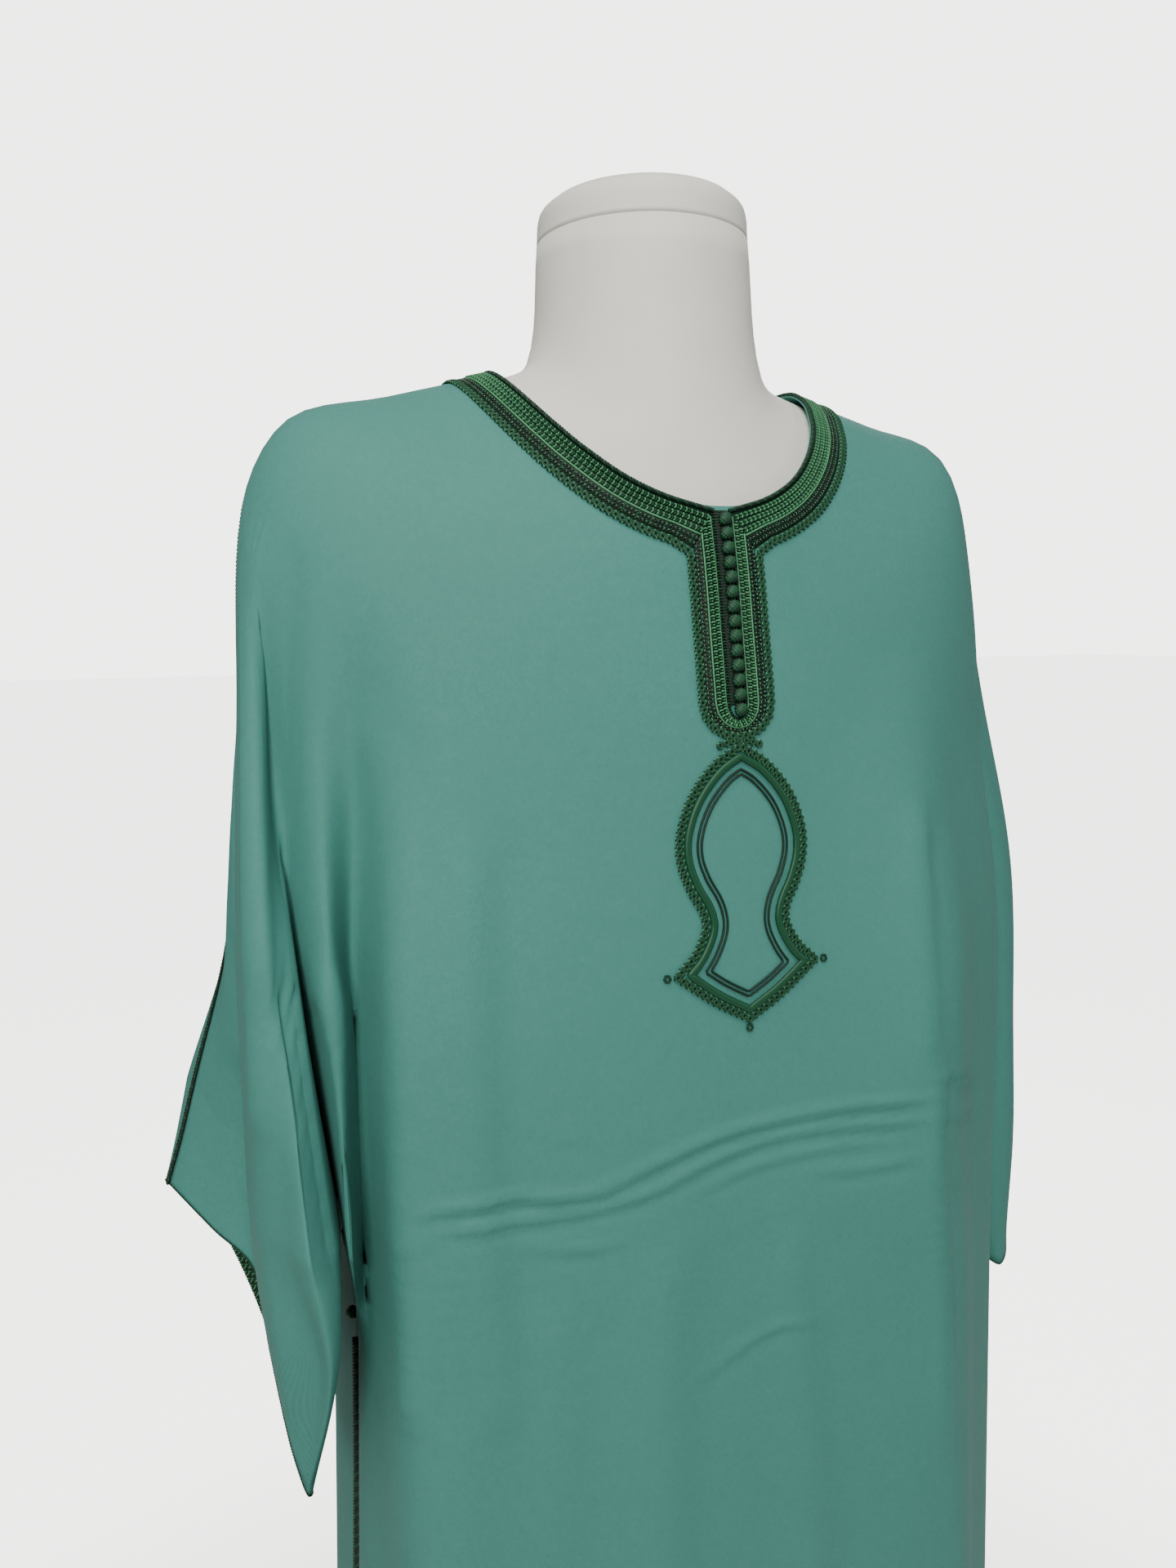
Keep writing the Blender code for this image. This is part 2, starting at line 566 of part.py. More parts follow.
def motif_outline(grow):
    """Closed outline of the motif as (x, drop), moved outward by grow."""
    half = np.array(MOTIF)
    loop = np.concatenate([half, (half * (-1, 1))[-2:0:-1]])
    count = len(half)
    corners = np.zeros(len(loop))
    for i in MOTIF_CORNERS:
        corners[[i, -i % len(loop)]] = 1
    fine = smooth_through(loop, [MOTIF_STEPS] * len(loop), closed=True, sharp=corners)
    before, after = fine - np.roll(fine, 1, axis=0), np.roll(fine, -1, axis=0) - fine
    normal = unit(unit(before) + unit(after))
    normal = np.stack([normal[:, 1], -normal[:, 0]], axis=1)
    half_angle = np.sum(unit(before) * unit(unit(before) + unit(after)), axis=1)
    return fine + normal * (grow / np.maximum(half_angle, MITRE_LIMIT))[:, None]


def clear_of_outline(grow):
    """Which points of the moved outline didn't fold over at a corner."""
    line, base = motif_outline(grow), motif_outline(0)
    edges = np.roll(base, -1, axis=0) - base
    nearest = []
    for point in line:
        share = np.clip(np.sum((point - base) * edges, axis=1) / np.sum(edges**2, axis=1), 0, 1)
        nearest.append(np.linalg.norm(base + edges * share[:, None] - point, axis=1).min())
    return np.array(nearest) > KEPT_SHARE * abs(grow)


def add_motif(chest, look):
    """Padded cord, fine inner line, looped edge and knots of the motif."""
    reach = CORD_WIDTH / 2

    def rows(grows, lifts):
        lines = [motif_outline(grow) for grow in grows]
        return [[chest.press(*line[i], lift) for line, lift in zip(lines, lifts)]
                for i in range(len(lines[0]))]

    def ring(name, profile):
        grows = [grow for grow, _ in profile]
        keep = clear_of_outline(grows[0])
        top = np.array(rows(grows, [TRIM_LIFT + up for _, up in profile]))[keep]
        bottom = np.array(rows((grows[0], grows[-1]), [TRIM_LIFT] * 2))[keep]
        add_band(name, top, bottom, look, closed=True)

    ring("motif_cord", half_round(CORD_WIDTH, CORD_HEIGHT, 4))
    inner = -LINE_INSET
    ring("motif_line", ((inner - LINE_WIDTH / 2, LINE_HEIGHT), (inner + LINE_WIDTH / 2, LINE_HEIGHT)))
    edge = reach + GAP
    ring("motif_picot", ((edge, PICOT_HEIGHT), (edge + PICOT_WIDTH, PICOT_HEIGHT)))
    tips = motif_outline(edge + PICOT_WIDTH)
    for word, corner in KNOTTED_CORNERS.items():
        tip = tips[corner * MOTIF_STEPS]
        away = unit(tip - motif_outline(0)[corner * MOTIF_STEPS])
        centre = tip + away * (KNOT_RADIUS + 2 * GAP)
        turns = np.linspace(0, 2 * math.pi, 8, endpoint=False)
        spots = [centre + KNOT_RADIUS * np.array([math.cos(turn), math.sin(turn)])
                 for turn in turns]
        rows = [[chest.press(*spot, lift) for spot in spots]
                for lift in (TRIM_LIFT, TRIM_LIFT + KNOT_HEIGHT)]
        add_lofted("motif_knot_" + word, np.array(rows), look)


def column(robe, place, step, stages):
    """Point numbers down one grid column through the named stages."""
    numbers = []
    for stage in stages:
        rows = sum(robe.rows[stage]) + 1
        first = 0 if stage == "upper" else 1
        numbers += [robe.index[robe.key(stage, row, place, step)] for row in range(first, rows)]
    return numbers


def at_distance(robe, numbers, distance):
    """Point and normal at a distance down a column of grid points."""
    points = robe.points[numbers]
    run = np.concatenate([[0], np.cumsum(np.linalg.norm(np.diff(points, axis=0), axis=1))])
    normal = [np.interp(distance, run, values) for values in robe.normals[numbers].T]
    return along(points, distance), unit(np.array(normal))


def add_neck_trims(robe, chest, look):
    """Braid round the neck edge and its looped edging, mitred to the placket at the notch."""
    ring = robe.rings["upper"]
    columns = [column(robe, place, step, ["upper"]) for place in ring for step in range(FOLD_STEPS)]
    clear_of_notch = 1 + FOLD_STEPS // 2
    columns = columns[clear_of_notch:len(columns) - clear_of_notch + 1]

    def rows(distances, lifts):
        inner = [[point + normal * lift for (point, normal), lift in
                  zip([at_distance(robe, numbers, s) for s in distances], lifts)]
                 for numbers in columns]
        ends = [[chest.press(sign * (SLIT_HALF + s / MITRE), PLACKET_TOP + s, lift)
                 for s, lift in zip(distances, lifts)] for sign in (-1, 1)]
        return [ends[0]] + inner + [ends[1]]

    across = [GAP + share * BRAID_WIDTH for share, _ in BRAID_PROFILE]
    feet = [GAP + share * BRAID_WIDTH for share in BRAID_FEET]
    add_band("neck_braid", rows(across, [TRIM_LIFT + up for _, up in BRAID_PROFILE]),
             rows(feet, [TRIM_LIFT] * len(feet)), look)
    edge = BRAID_WIDTH + 2 * GAP
    picot = (edge, edge + PICOT_WIDTH)
    add_band("neck_picot", rows(picot, [TRIM_LIFT + PICOT_HEIGHT] * 2),
             rows(picot, [TRIM_LIFT] * 2), look)


# Cords over the seams and braids inside the cuffs
OVERARM_CORD = (0.0034, 0.0016)
OVERARM_LIFT = 0.0008
SIDE_CORD_RADIUS = 0.0009
SIDE_CORD_SIDES = 6
SLIT_CORD = (0.0026, 0.0014)
SLIT_CORD_INSET = 0.0020   # middle of the cord from the edge of the slit
SLIT_CORD_STEP = 0.0300
SLIT_CORD_END = SLIT_CORD_STEP / 4
SLIT_KNOT_RADIUS = 0.0034
SLIT_KNOT_SIDES = 8
SLIT_KNOT_RISES = (-60, -25, 25, 60)  # degrees over its middle
SIDE_CORD_END = 0.7        # share of its last step that the cord above the knot covers
CUFF_BRAID_HEIGHT = 0.0012
CUFF_BRAID_LIFT = 0.0008


def add_seam_cord(name, robe, numbers, size, look, start=0.0):
    """Half round cord that covers the seam along a column of grid points."""
    points, normals = robe.points[numbers], robe.normals[numbers]
    run = np.concatenate([[0], np.cumsum(np.linalg.norm(np.diff(points, axis=0), axis=1))])
    keep = run > start
    points, normals = points[keep], normals[keep]
    across = unit(np.cross(normals, np.gradient(points, axis=0)))
    top = [points + across * out + normals * (OVERARM_LIFT + up)
           for out, up in half_round(*size, 4)]
    bottom = [points + across * out + normals * OVERARM_LIFT for out in (-size[0] / 2, 0, size[0] / 2)]
    add_band(name, np.stack(top, axis=1), np.stack(bottom, axis=1), look)


def beside_seam(robe, word, row, radius):
    """Middle of a round thing that rests on both panels at the side seam, and the way out."""
    if row:
        seam = robe.index["body", row, word + "_g", 0]
    else:
        seam = robe.index["upper", robe.armpit_row, word + "_g", 0]
    point, normal = robe.points[seam], robe.normals[seam]
    arms = []
    for place in robe.rings["body"]:
        if place[0][:-1] + "g" == word + "_g" and place[0][-1] in "gh":
            step = 1
        elif place[1][:-1] + "g" == word + "_g" and place[1][-1] in "gh":
            step = FOLD_STEPS - 1
        else:
            continue
        beside = robe.index[robe.key("body", row, place, step)]
        arms.append(unit(robe.points[beside] - point))
    half_angle = math.acos(np.clip(arms[0] @ arms[1], -1, 1)) / 2
    is_valley = (arms[0] + arms[1]) @ normal > 0
    reach = radius / math.sin(half_angle) if is_valley else radius
    return point + normal * (reach + TRIM_LIFT), normal


def add_side_cord(name, robe, word, rows, look, end=1.0):
    """Round cord that follows the side seam over some body rows."""
    rests = [beside_seam(robe, word, row, SIDE_CORD_RADIUS) for row in rows]
    line, out = np.array([rest[0] for rest in rests]), np.array([rest[1] for rest in rests])
    line[-1] = line[-2] + end * (line[-1] - line[-2])
    across = unit(np.cross(out, np.gradient(line, axis=0)))
    turns = np.linspace(0, 2 * math.pi, SIDE_CORD_SIDES, endpoint=False)
    rings = np.stack([line + SIDE_CORD_RADIUS * (across * math.cos(turn) + out * math.sin(turn))
                      for turn in turns], axis=1)
    add_lofted(name, rings, look)


def add_slit_knot(name, robe, word, look):
    """Round knot on the seam at the head of the slit."""
    middle, _ = beside_seam(robe, word, SLIT_ROWS[0], SLIT_KNOT_RADIUS)
    turns = np.linspace(0, 2 * math.pi, SLIT_KNOT_SIDES, endpoint=False)
    rings = [[middle + SLIT_KNOT_RADIUS * np.array([math.cos(rise) * math.cos(turn),
                                                    math.cos(rise) * math.sin(turn),
                                                    math.sin(rise)]) for turn in turns]
             for rise in np.radians(SLIT_KNOT_RISES)]
    add_lofted(name, np.array(rings), look)


def add_slit_cord(name, robe, word, faces, outer, look):
    """Half round cord on one panel, along its edge of the slit."""
    tree = BVHTree.FromPolygons([Vector(p) for p in outer], split_faces(faces))
    column_numbers = [robe.index["body", row, word + "_g", 0]
                      for row in range(1, sum(BODY_STEPS) + 1)]
    seam = column_numbers[SLIT_ROWS[0] - 1:SLIT_ROWS[1]]
    beside = {}
    for face in faces.tolist():
        for a, b in zip(face, face[1:] + face[:1]):
            for here, there in ((a, b), (b, a)):
                if here in seam and there not in column_numbers:
                    beside[here] = there
    edge = outer[seam]
    inward = np.array([unit(outer[beside[i]] - outer[i]) for i in seam])
    run = np.concatenate([[0], np.cumsum(np.linalg.norm(np.diff(edge, axis=0), axis=1))])
    count = round((run[-1] - 2 * SLIT_CORD_END) / SLIT_CORD_STEP)
    top, bottom = [], []
    for distance in np.linspace(SLIT_CORD_END, run[-1] - SLIT_CORD_END, count + 1):
        middle = [np.interp(distance, run, values) for values in edge.T]
        reach = unit(np.array([np.interp(distance, run, values) for values in inward.T]))
        rests = []
        for out, up in half_round(*SLIT_CORD, 4):
            spot = Vector(np.array(middle) + reach * (SLIT_CORD_INSET + out))
            rest, normal, _, _ = tree.find_nearest(spot)
            rests.append((np.array(rest), np.array(normal), up))
        top.append([rest + normal * (TRIM_LIFT + up) for rest, normal, up in rests])
        bottom.append([rests[i][0] + rests[i][1] * TRIM_LIFT for i in (0, 2, 4)])
    add_band(name, top, bottom, look)


def add_cuff_braid(name, robe, stage, start, look):
    """Braid faced round the inside of one cuff, from a grid step on the front to the underarm.

    The start is counted from the underarm seam on the front."""
    last_row = sum(robe.rows[stage]) - 1
    size = len(robe.rings[stage]) * FOLD_STEPS
    first, last = (start, size - 1) if stage.startswith("near") else (1, size - start)
    wanted = [cell[0] == stage and cell[1] == last_row and first <= cell[2] < last
              for cell in robe.cells]
    floor = WALL + CUFF_BRAID_LIFT
    add_solid(name, *walled(robe.faces[wanted], robe.points - robe.normals * floor,
                            robe.points - robe.normals * (floor + CUFF_BRAID_HEIGHT)), look)


# Dress form: half width and reach to the front and back at a drop at the side, the front and
# the back, down to its flat foot
FORM_RINGS = (
    # name          width  front  back   side    front   back  (drops)
    ("cap",         0.052, 0.054, 0.052, -0.0880, -0.0880, -0.0880, 2.0),
    ("cap edge",    0.0585, 0.060, 0.058, -0.0820, -0.0820, -0.0820, 2.0),
    ("neck",        0.0602, 0.062, 0.0595, -0.0660, -0.0660, -0.0660, 2.0),
    ("neck foot",   0.0680, 0.072, 0.060, 0.0000, 0.0260, -0.0120, 2.0),
    ("collar",      0.0930, 0.088, 0.066, 0.0125, 0.0800, 0.0040, 2.0),
    ("yoke",        0.1490, 0.098, 0.084, 0.0260, 0.1240, 0.0340, 2.0),
    ("shoulder",    0.1900, 0.101, 0.092, 0.0430, 0.1600, 0.0760, 2.0),
    ("shoulder end", 0.1990, 0.102, 0.094, 0.0900, 0.2000, 0.1300, 2.0),
    ("side",        0.1960, 0.104, 0.094, 0.1700, 0.2500, 0.2100, 2.0),
    ("waist",       0.1600, 0.100, 0.086, 0.3900, 0.3900, 0.3900, 2.0),
    ("hip",         0.1700, 0.104, 0.096, 0.5800, 0.5800, 0.5800, 2.0),
    ("foot edge",   0.1620, 0.100, 0.092, 0.6850, 0.6850, 0.6850, 2.0),
    ("foot",        0.1520, 0.090, 0.084, 0.6950, 0.6950, 0.6950, 2.0),
)
FORM_STEPS = (1, 2, 2, 1, 2, 2, 2, 2, 2, 2, 2, 1)
FORM_SIDES = 28
FORM_TOP = NECK_HEIGHT + 0.0017  # seats the shoulders of the robe on the form
CAP_RINGS = 2
POLE_RADIUS = 0.0150
POLE_SIDES = 24
BASE_RADIUS = 0.165
BASE_HEIGHT = 0.016
EDGE_ROUND = 0.004
BASE_SIDES = 48


def form_surface():
    """Rings of points down the dress form, from the cap to the foot."""
    turns = np.linspace(0, 2 * math.pi, FORM_SIDES, endpoint=False)
    lines = []
    for turn in turns:
        angle = math.degrees(math.asin(round(math.sin(turn), 12)))
        sign = -1 if math.cos(turn) < 0 else 1
        lines.append([ring_place(sign, angle, ring) for ring in FORM_RINGS])
    rings = smooth_through(np.array(lines), FORM_STEPS).transpose(1, 0, 2)
    rings[..., 2] = FORM_TOP - rings[..., 2]
    return rings


def add_form(look, metal):
    """Torso with its neck, the cap on the neck, the pole and the base."""
    rings = form_surface()
    split = sum(FORM_STEPS[:CAP_RINGS])
    cap, torso = rings[:split + 1].copy(), rings[split:].copy()
    cap[-1, :, 2] += GAP
    add_lofted("form_cap", cap, look)
    add_lofted("form_torso", torso, look)
    foot = FORM_TOP - FORM_RINGS[-1][4]
    add_turned("form_pole", ((POLE_RADIUS, BASE_HEIGHT + GAP), (POLE_RADIUS, foot - GAP)),
               POLE_SIDES, metal)
    add_turned("form_base", ((BASE_RADIUS - EDGE_ROUND / 2, 0), (BASE_RADIUS, EDGE_ROUND),
                             (BASE_RADIUS, BASE_HEIGHT - EDGE_ROUND),
                             (BASE_RADIUS - EDGE_ROUND, BASE_HEIGHT)), BASE_SIDES, metal)


def main():
    clear_scene()
    robe = Robe(FOLD_STEPS, UPPER_STEPS, BODY_STEPS, SLEEVE_STEPS)
    cloth = material("cloth", CLOTH_COLOUR, 0.75)
    braid = material("braid", BRAID_COLOUR, 0.6)
    form = material("form", FORM_COLOUR, 0.6)
    metal = material("metal", METAL_COLOUR, 0.35, 0.9)
    panels = {name: robe.panel(name) for name in ("front", "back")}
    for name, (faces, outer) in panels.items():
        add_solid(name, *walled(faces, outer, outer - WALL * robe.normals), cloth)
    chest = Chest(*panels["front"])
    add_neck_trims(robe, chest, braid)
    add_placket(chest, braid)
    add_buttons(chest, braid)
    add_motif(chest, braid)
    for side in (NEAR, FAR):
        word = side["word"]
        arm = word + side["overarm"][0]
        sleeve = word + "_sleeve"
        place = next(place for place in robe.rings["upper"] if place[0] == arm)
        add_seam_cord("overarm_cord_" + word, robe, column(robe, place, 0, ["upper", sleeve]),
                      OVERARM_CORD, braid, BRAID_WIDTH + PICOT_WIDTH + 0.002)
        add_cuff_braid("cuff_braid_" + word, robe, sleeve, side["braid_from"], braid)
        add_side_cord("side_cord_" + word, robe, word, range(1, SLIT_ROWS[0] + 1), braid,
                      SIDE_CORD_END)
        add_slit_knot("slit_knot_" + word, robe, word, braid)
        add_side_cord("lower_side_cord_" + word, robe, word,
                      range(SLIT_ROWS[1], sum(BODY_STEPS) + 1), braid)
        for panel, (faces, outer) in panels.items():
            add_slit_cord(f"slit_cord_{word}_{panel}", robe, word, faces, outer, braid)
    add_form(form, metal)


if __name__ == "__main__":
    main()
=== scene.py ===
"""Looks of the djellaba robe on its limbless dress form.

The cloth, braids, cords and buttons are laid over the same folds as the solids of the frame, at
a finer step. Metres, Z up, and the robe faces -Y.
"""

import math

import bpy
import numpy as np
from mathutils import Matrix, Vector
from mathutils.bvhtree import BVHTree


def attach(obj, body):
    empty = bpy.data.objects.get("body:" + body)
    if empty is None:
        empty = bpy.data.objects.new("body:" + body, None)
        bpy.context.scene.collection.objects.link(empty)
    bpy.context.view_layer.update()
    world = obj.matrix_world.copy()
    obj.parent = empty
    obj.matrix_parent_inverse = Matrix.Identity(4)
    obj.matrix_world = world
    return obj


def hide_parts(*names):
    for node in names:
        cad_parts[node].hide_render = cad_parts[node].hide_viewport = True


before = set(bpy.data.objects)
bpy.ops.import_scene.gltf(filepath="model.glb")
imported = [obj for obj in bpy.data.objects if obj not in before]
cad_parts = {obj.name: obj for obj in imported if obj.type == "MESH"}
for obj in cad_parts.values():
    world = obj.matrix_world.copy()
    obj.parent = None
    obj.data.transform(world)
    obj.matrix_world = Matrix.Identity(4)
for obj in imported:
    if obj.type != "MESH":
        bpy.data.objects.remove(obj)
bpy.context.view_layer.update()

# Driving sizes
NECK_HEIGHT = 1.470        # floor to the robe at the side of the neck
WALL = 0.0015              # cloth
GAP = 0.0003               # between pieces that touch
SEAM_SHIFT = GAP / 2       # each side of a seam draws back by this
TRIM_LIFT = 0.0004         # underside of a trim above the cloth

# Level rings of the cloth before it folds: half width, reach to the front and back, and the
# drop below the side of the neck at the side, the front and the back. A roundness of 2 is an
# ellipse, and more is squarer.
RINGS = (
    # name        width  front   back   side   front   back (drops)  roundness
    ("neck",      0.094, 0.097, 0.072, 0.008, 0.086, -0.004, 2.15),
    ("yoke",      0.150, 0.104, 0.092, 0.0225, 0.116, 0.022, 2.05),
    ("shoulder",  0.203, 0.110, 0.104, 0.037, 0.150, 0.060, 2.0),
    ("arm",       0.228, 0.117, 0.112, 0.082, 0.192, 0.115, 2.0),
    ("chest",     0.234, 0.124, 0.117, 0.190, 0.262, 0.205, 2.1),
    ("rib",       0.238, 0.131, 0.120, 0.310, 0.350, 0.320, 2.3),
)
DROP_POWER = 1.6           # how late the drop turns from side to front

# Folds, in order from the middle of the front round to the middle of the back. The angle is
# the fold's place on the rings, from 90 in front through 0 at the side to -90 behind. The
# shares are how much of the fold is already there at the chest and at the rib. Then come its
# place out from the middle, its place to the back, and its drop, at the armpit, lower, and
# at its end, which is the hem for the body and the cuff for the sleeve.
HEM = 1.395
CENTRE_FRONT = ("c", 90, 0.0, 0.0, (0.000, -0.137, 0.455), (0.000, -0.140, 0.545), (0.000, -0.166, HEM))
CENTRE_BACK = ("d", -90, 0.0, 0.0, (0.000, 0.118, 0.455), (0.000, 0.119, 0.545), (0.000, 0.142, HEM))
NEAR = dict(
    word="near",
    sign=-1,
    narrowing=(0, 0, 0, 0, 0, 0),
    braid_from=7,          # grid step from the underarm at which the cuff braid starts
    body_front=(
        # name  angle chest rib    armpit                    lower                     end
        ("_b1", 78, 0.0, 0.3, (0.058, -0.1385, 0.455), (0.059, -0.142, 0.545), (0.068, -0.177, HEM)),
        ("_b2", 63, 0.2, 0.6, (0.122, -0.1315, 0.455), (0.123, -0.133, 0.545), (0.128, -0.150, HEM)),
        ("_b3", 48, 0.3, 0.7, (0.176, -0.122, 0.455), (0.177, -0.124, 0.545), (0.190, -0.156, HEM)),
        ("_b4", 38, 0.45, 0.8, (0.191, -0.062, 0.455), (0.191, -0.072, 0.545), (0.205, -0.090, HEM)),
        ("_b5", 30, 0.1, 0.6, (0.203, -0.098, 0.455), (0.194, -0.052, 0.540), (0.230, -0.066, HEM)),
    ),
    underarm=("_g", 22, 0.0, 0.1, (0.197, -0.010, 0.460)),
    side_seam=((0.188, -0.020, 0.530), (0.219, 0.002, HEM)),
    sleeve_seam=((0.208, -0.032, 0.530), (0.2260, -0.044, 0.596)),
    sleeve_front=(
        ("_s1", 17, 0.0, 0.5, (0.2095, -0.106, 0.445), (0.212, -0.107, 0.502), (0.2235, -0.066, 0.597)),
        ("_s2", 13, 0.15, 0.55, (0.225, -0.122, 0.440), (0.2175, -0.115, 0.502), (0.2270, -0.078, 0.590)),
        ("_s3", 9, 0.3, 0.75, (0.235, -0.101, 0.440), (0.222, -0.101, 0.504), (0.2300, -0.080, 0.580)),
        ("_s4", 5, 0.4, 0.85, (0.2455, -0.078, 0.440), (0.240, -0.087, 0.498), (0.2350, -0.078, 0.556)),
        ("_s5", 1, 0.45, 0.9, (0.2460, -0.032, 0.435), (0.2445, -0.042, 0.484), (0.2400, -0.048, 0.524)),
        ("_s6", -2, 0.2, 0.75, (0.2400, -0.002, 0.430), (0.2430, -0.008, 0.468), (0.2440, -0.018, 0.494)),
        ("_s7", -5, 0.1, 0.5, (0.2560, 0.018, 0.420), (0.260, 0.014, 0.454), (0.263, 0.008, 0.480)),
    ),
    overarm=("_o", -8, 0.04, 0.24, (0.2680, 0.038, 0.405), (0.2765, 0.039, 0.436), (0.2850, 0.040, 0.463)),
    sleeve_back=(
        ("_t1", -13, 0.04, 0.24, (0.2700, 0.064, 0.410), (0.277, 0.066, 0.446), (0.283, 0.070, 0.480)),
        ("_t2", -20, 0.0, 0.3, (0.2460, 0.088, 0.430), (0.249, 0.090, 0.480), (0.252, 0.092, 0.528)),
        ("_t3", -28, 0.0, 0.3, (0.2160, 0.062, 0.448), (0.219, 0.056, 0.522), (0.229, 0.040, 0.580)),
    ),
    underarm_back=("_h", -35, 0.0, 0.2, (0.197, -0.010, 0.460)),
    body_back=(
        ("_k1", -46, 0.0, 0.3, (0.188, 0.066, 0.458), (0.189, 0.064, 0.545), (0.214, 0.082, HEM)),
        ("_k2", -59, 0.1, 0.4, (0.146, 0.097, 0.455), (0.147, 0.098, 0.545), (0.163, 0.108, HEM)),
        ("_k3", -73, 0.0, 0.3, (0.080, 0.1215, 0.455), (0.081, 0.123, 0.545), (0.094, 0.158, HEM)),
    ),
)
FAR = dict(
    word="far",
    sign=1,
    narrowing=(0, 0, 0.002, 0.011, 0.009, 0.004),
    braid_from=1,
    body_front=(
        ("_b1", 78, 0.0, 0.2, (0.056, -0.1375, 0.455), (0.057, -0.139, 0.545), (0.064, -0.157, HEM)),
        ("_b2", 62, 0.6, 0.9, (0.126, -0.1330, 0.455), (0.138, -0.130, 0.545), (0.160, -0.160, HEM)),
        ("_b3", 47, 0.4, 0.8, (0.178, -0.090, 0.455), (0.186, -0.088, 0.545), (0.198, -0.104, HEM)),
        ("_b4", 33, 0.4, 0.8, (0.2350, -0.042, 0.455), (0.240, -0.036, 0.545), (0.250, -0.048, HEM)),
    ),
    underarm=("_g", 20, 0.0, 0.35, (0.203, 0.004, 0.460)),
    side_seam=((0.206, 0.006, 0.540), (0.222, 0.012, HEM)),
    sleeve_seam=((0.232, 0.000, 0.560), (0.268, 0.000, 0.606)),
    sleeve_front=(
        ("_s1", 15, 0.1, 0.6, (0.244, -0.006, 0.455), (0.258, -0.014, 0.548), (0.277, -0.010, 0.612)),
        ("_s2", 10, 0.2, 0.7, (0.274, -0.014, 0.450), (0.280, -0.012, 0.535), (0.288, -0.004, 0.606)),
        ("_s3", 5, 0.4, 0.8, (0.292, 0.004, 0.440), (0.297, 0.006, 0.516), (0.2975, 0.014, 0.574)),
        ("_s4", 0, 0.2, 0.6, (0.288, 0.034, 0.430), (0.291, 0.036, 0.486), (0.292, 0.040, 0.526)),
    ),
    overarm=("_o", -6, 0.1, 0.5, (0.274, 0.060, 0.418), (0.277, 0.063, 0.450), (0.279, 0.066, 0.478)),
    sleeve_back=(
        ("_t1", -13, 0.0, 0.4, (0.260, 0.086, 0.420), (0.262, 0.088, 0.462), (0.264, 0.090, 0.500)),
        ("_t2", -20, 0.0, 0.3, (0.232, 0.084, 0.435), (0.238, 0.082, 0.495), (0.248, 0.078, 0.545)),
        ("_t3", -28, 0.0, 0.3, (0.214, 0.050, 0.450), (0.232, 0.042, 0.535), (0.264, 0.030, 0.592)),
    ),
    underarm_back=("_h", -35, 0.0, 0.2, (0.203, 0.004, 0.460)),
    body_back=(
        ("_k1", -46, 0.0, 0.3, (0.194, 0.070, 0.458), (0.196, 0.068, 0.545), (0.220, 0.074, HEM)),
        ("_k2", -60, 0.1, 0.4, (0.142, 0.106, 0.455), (0.143, 0.108, 0.545), (0.158, 0.140, HEM)),
        ("_k3", -74, 0.0, 0.3, (0.074, 0.1135, 0.455), (0.075, 0.114, 0.545), (0.086, 0.128, HEM)),
    ),
)


# Grid of the robe: steps between rings, levels and folds
UPPER_STEPS = (4, 5, 5, 8, 12, 36)
BODY_STEPS = (40, 50)
SLEEVE_STEPS = (12, 8)
FOLD_STEPS = 8
COARSE_BODY = (0, 3, 13)   # the slits are counted in these steps of the body
SLIT_ROWS = (3, 6)
SLIT_PARTING = (0, 0.0004, 0.0042, 0)
UNDERARM_SPLIT = 0.0017
UNDERARM_LENGTH = 0.43     # round the robe from the middle of the front to the underarm
ARMPIT_LENGTH = 0.52       # down the cloth from the neckline to the armpit level
CUFF_BRAID_WIDTH = 0.0125
SEAM_SHARPNESS = (0, 0, 0, 0, 0, 0.3, 1)


def unit(vectors):
    length = np.linalg.norm(vectors, axis=-1, keepdims=True)
    return vectors / np.maximum(length, 1e-9)


def smooth_through(points, steps, closed=False, sharp=None):
    """Curve through points on the second last axis, with steps[i] pieces after point i.

    sharp gives, for each point, how far its tangent follows its own side only."""
    count = points.shape[-2]
    if closed:
        before, after = np.roll(points, 1, axis=-2), np.roll(points, -1, axis=-2)
    else:
        before = np.concatenate([points[..., :1, :], points[..., :-1, :]], axis=-2)
        after = np.concatenate([points[..., 1:, :], points[..., -1:, :]], axis=-2)
    back_length = np.linalg.norm(points - before, axis=-1, keepdims=True) + 1e-9
    next_length = np.linalg.norm(after - points, axis=-1, keepdims=True) + 1e-9
    back_slope = (points - before) / back_length
    next_slope = (after - points) / next_length
    if not closed:
        back_slope[..., 0, :] = next_slope[..., 0, :]
        next_slope[..., -1, :] = back_slope[..., -1, :]
        back_length[..., 0, :] = next_length[..., 0, :]
        next_length[..., -1, :] = back_length[..., -1, :]
    tangent = (back_slope * back_length + next_slope * next_length) / (back_length + next_length)
    corner = np.zeros(count) if sharp is None else sharp
    corner = corner[..., None]
    leaving = tangent + (next_slope - tangent) * corner
    arriving = tangent + (back_slope - tangent) * corner
    pieces = []
    for i in range(count if closed else count - 1):
        j = (i + 1) % count
        chord = next_length[..., i, :]
        for step in range(steps[i]):
            t = step / steps[i]
            pieces.append((2 * t**3 - 3 * t**2 + 1) * points[..., i, :]
                          + (t**3 - 2 * t**2 + t) * chord * leaving[..., i, :]
                          + (3 * t**2 - 2 * t**3) * points[..., j, :]
                          + (t**3 - t**2) * chord * arriving[..., j, :])
    if not closed:
        pieces.append(points[..., -1, :])
    return np.stack(pieces, axis=-2)


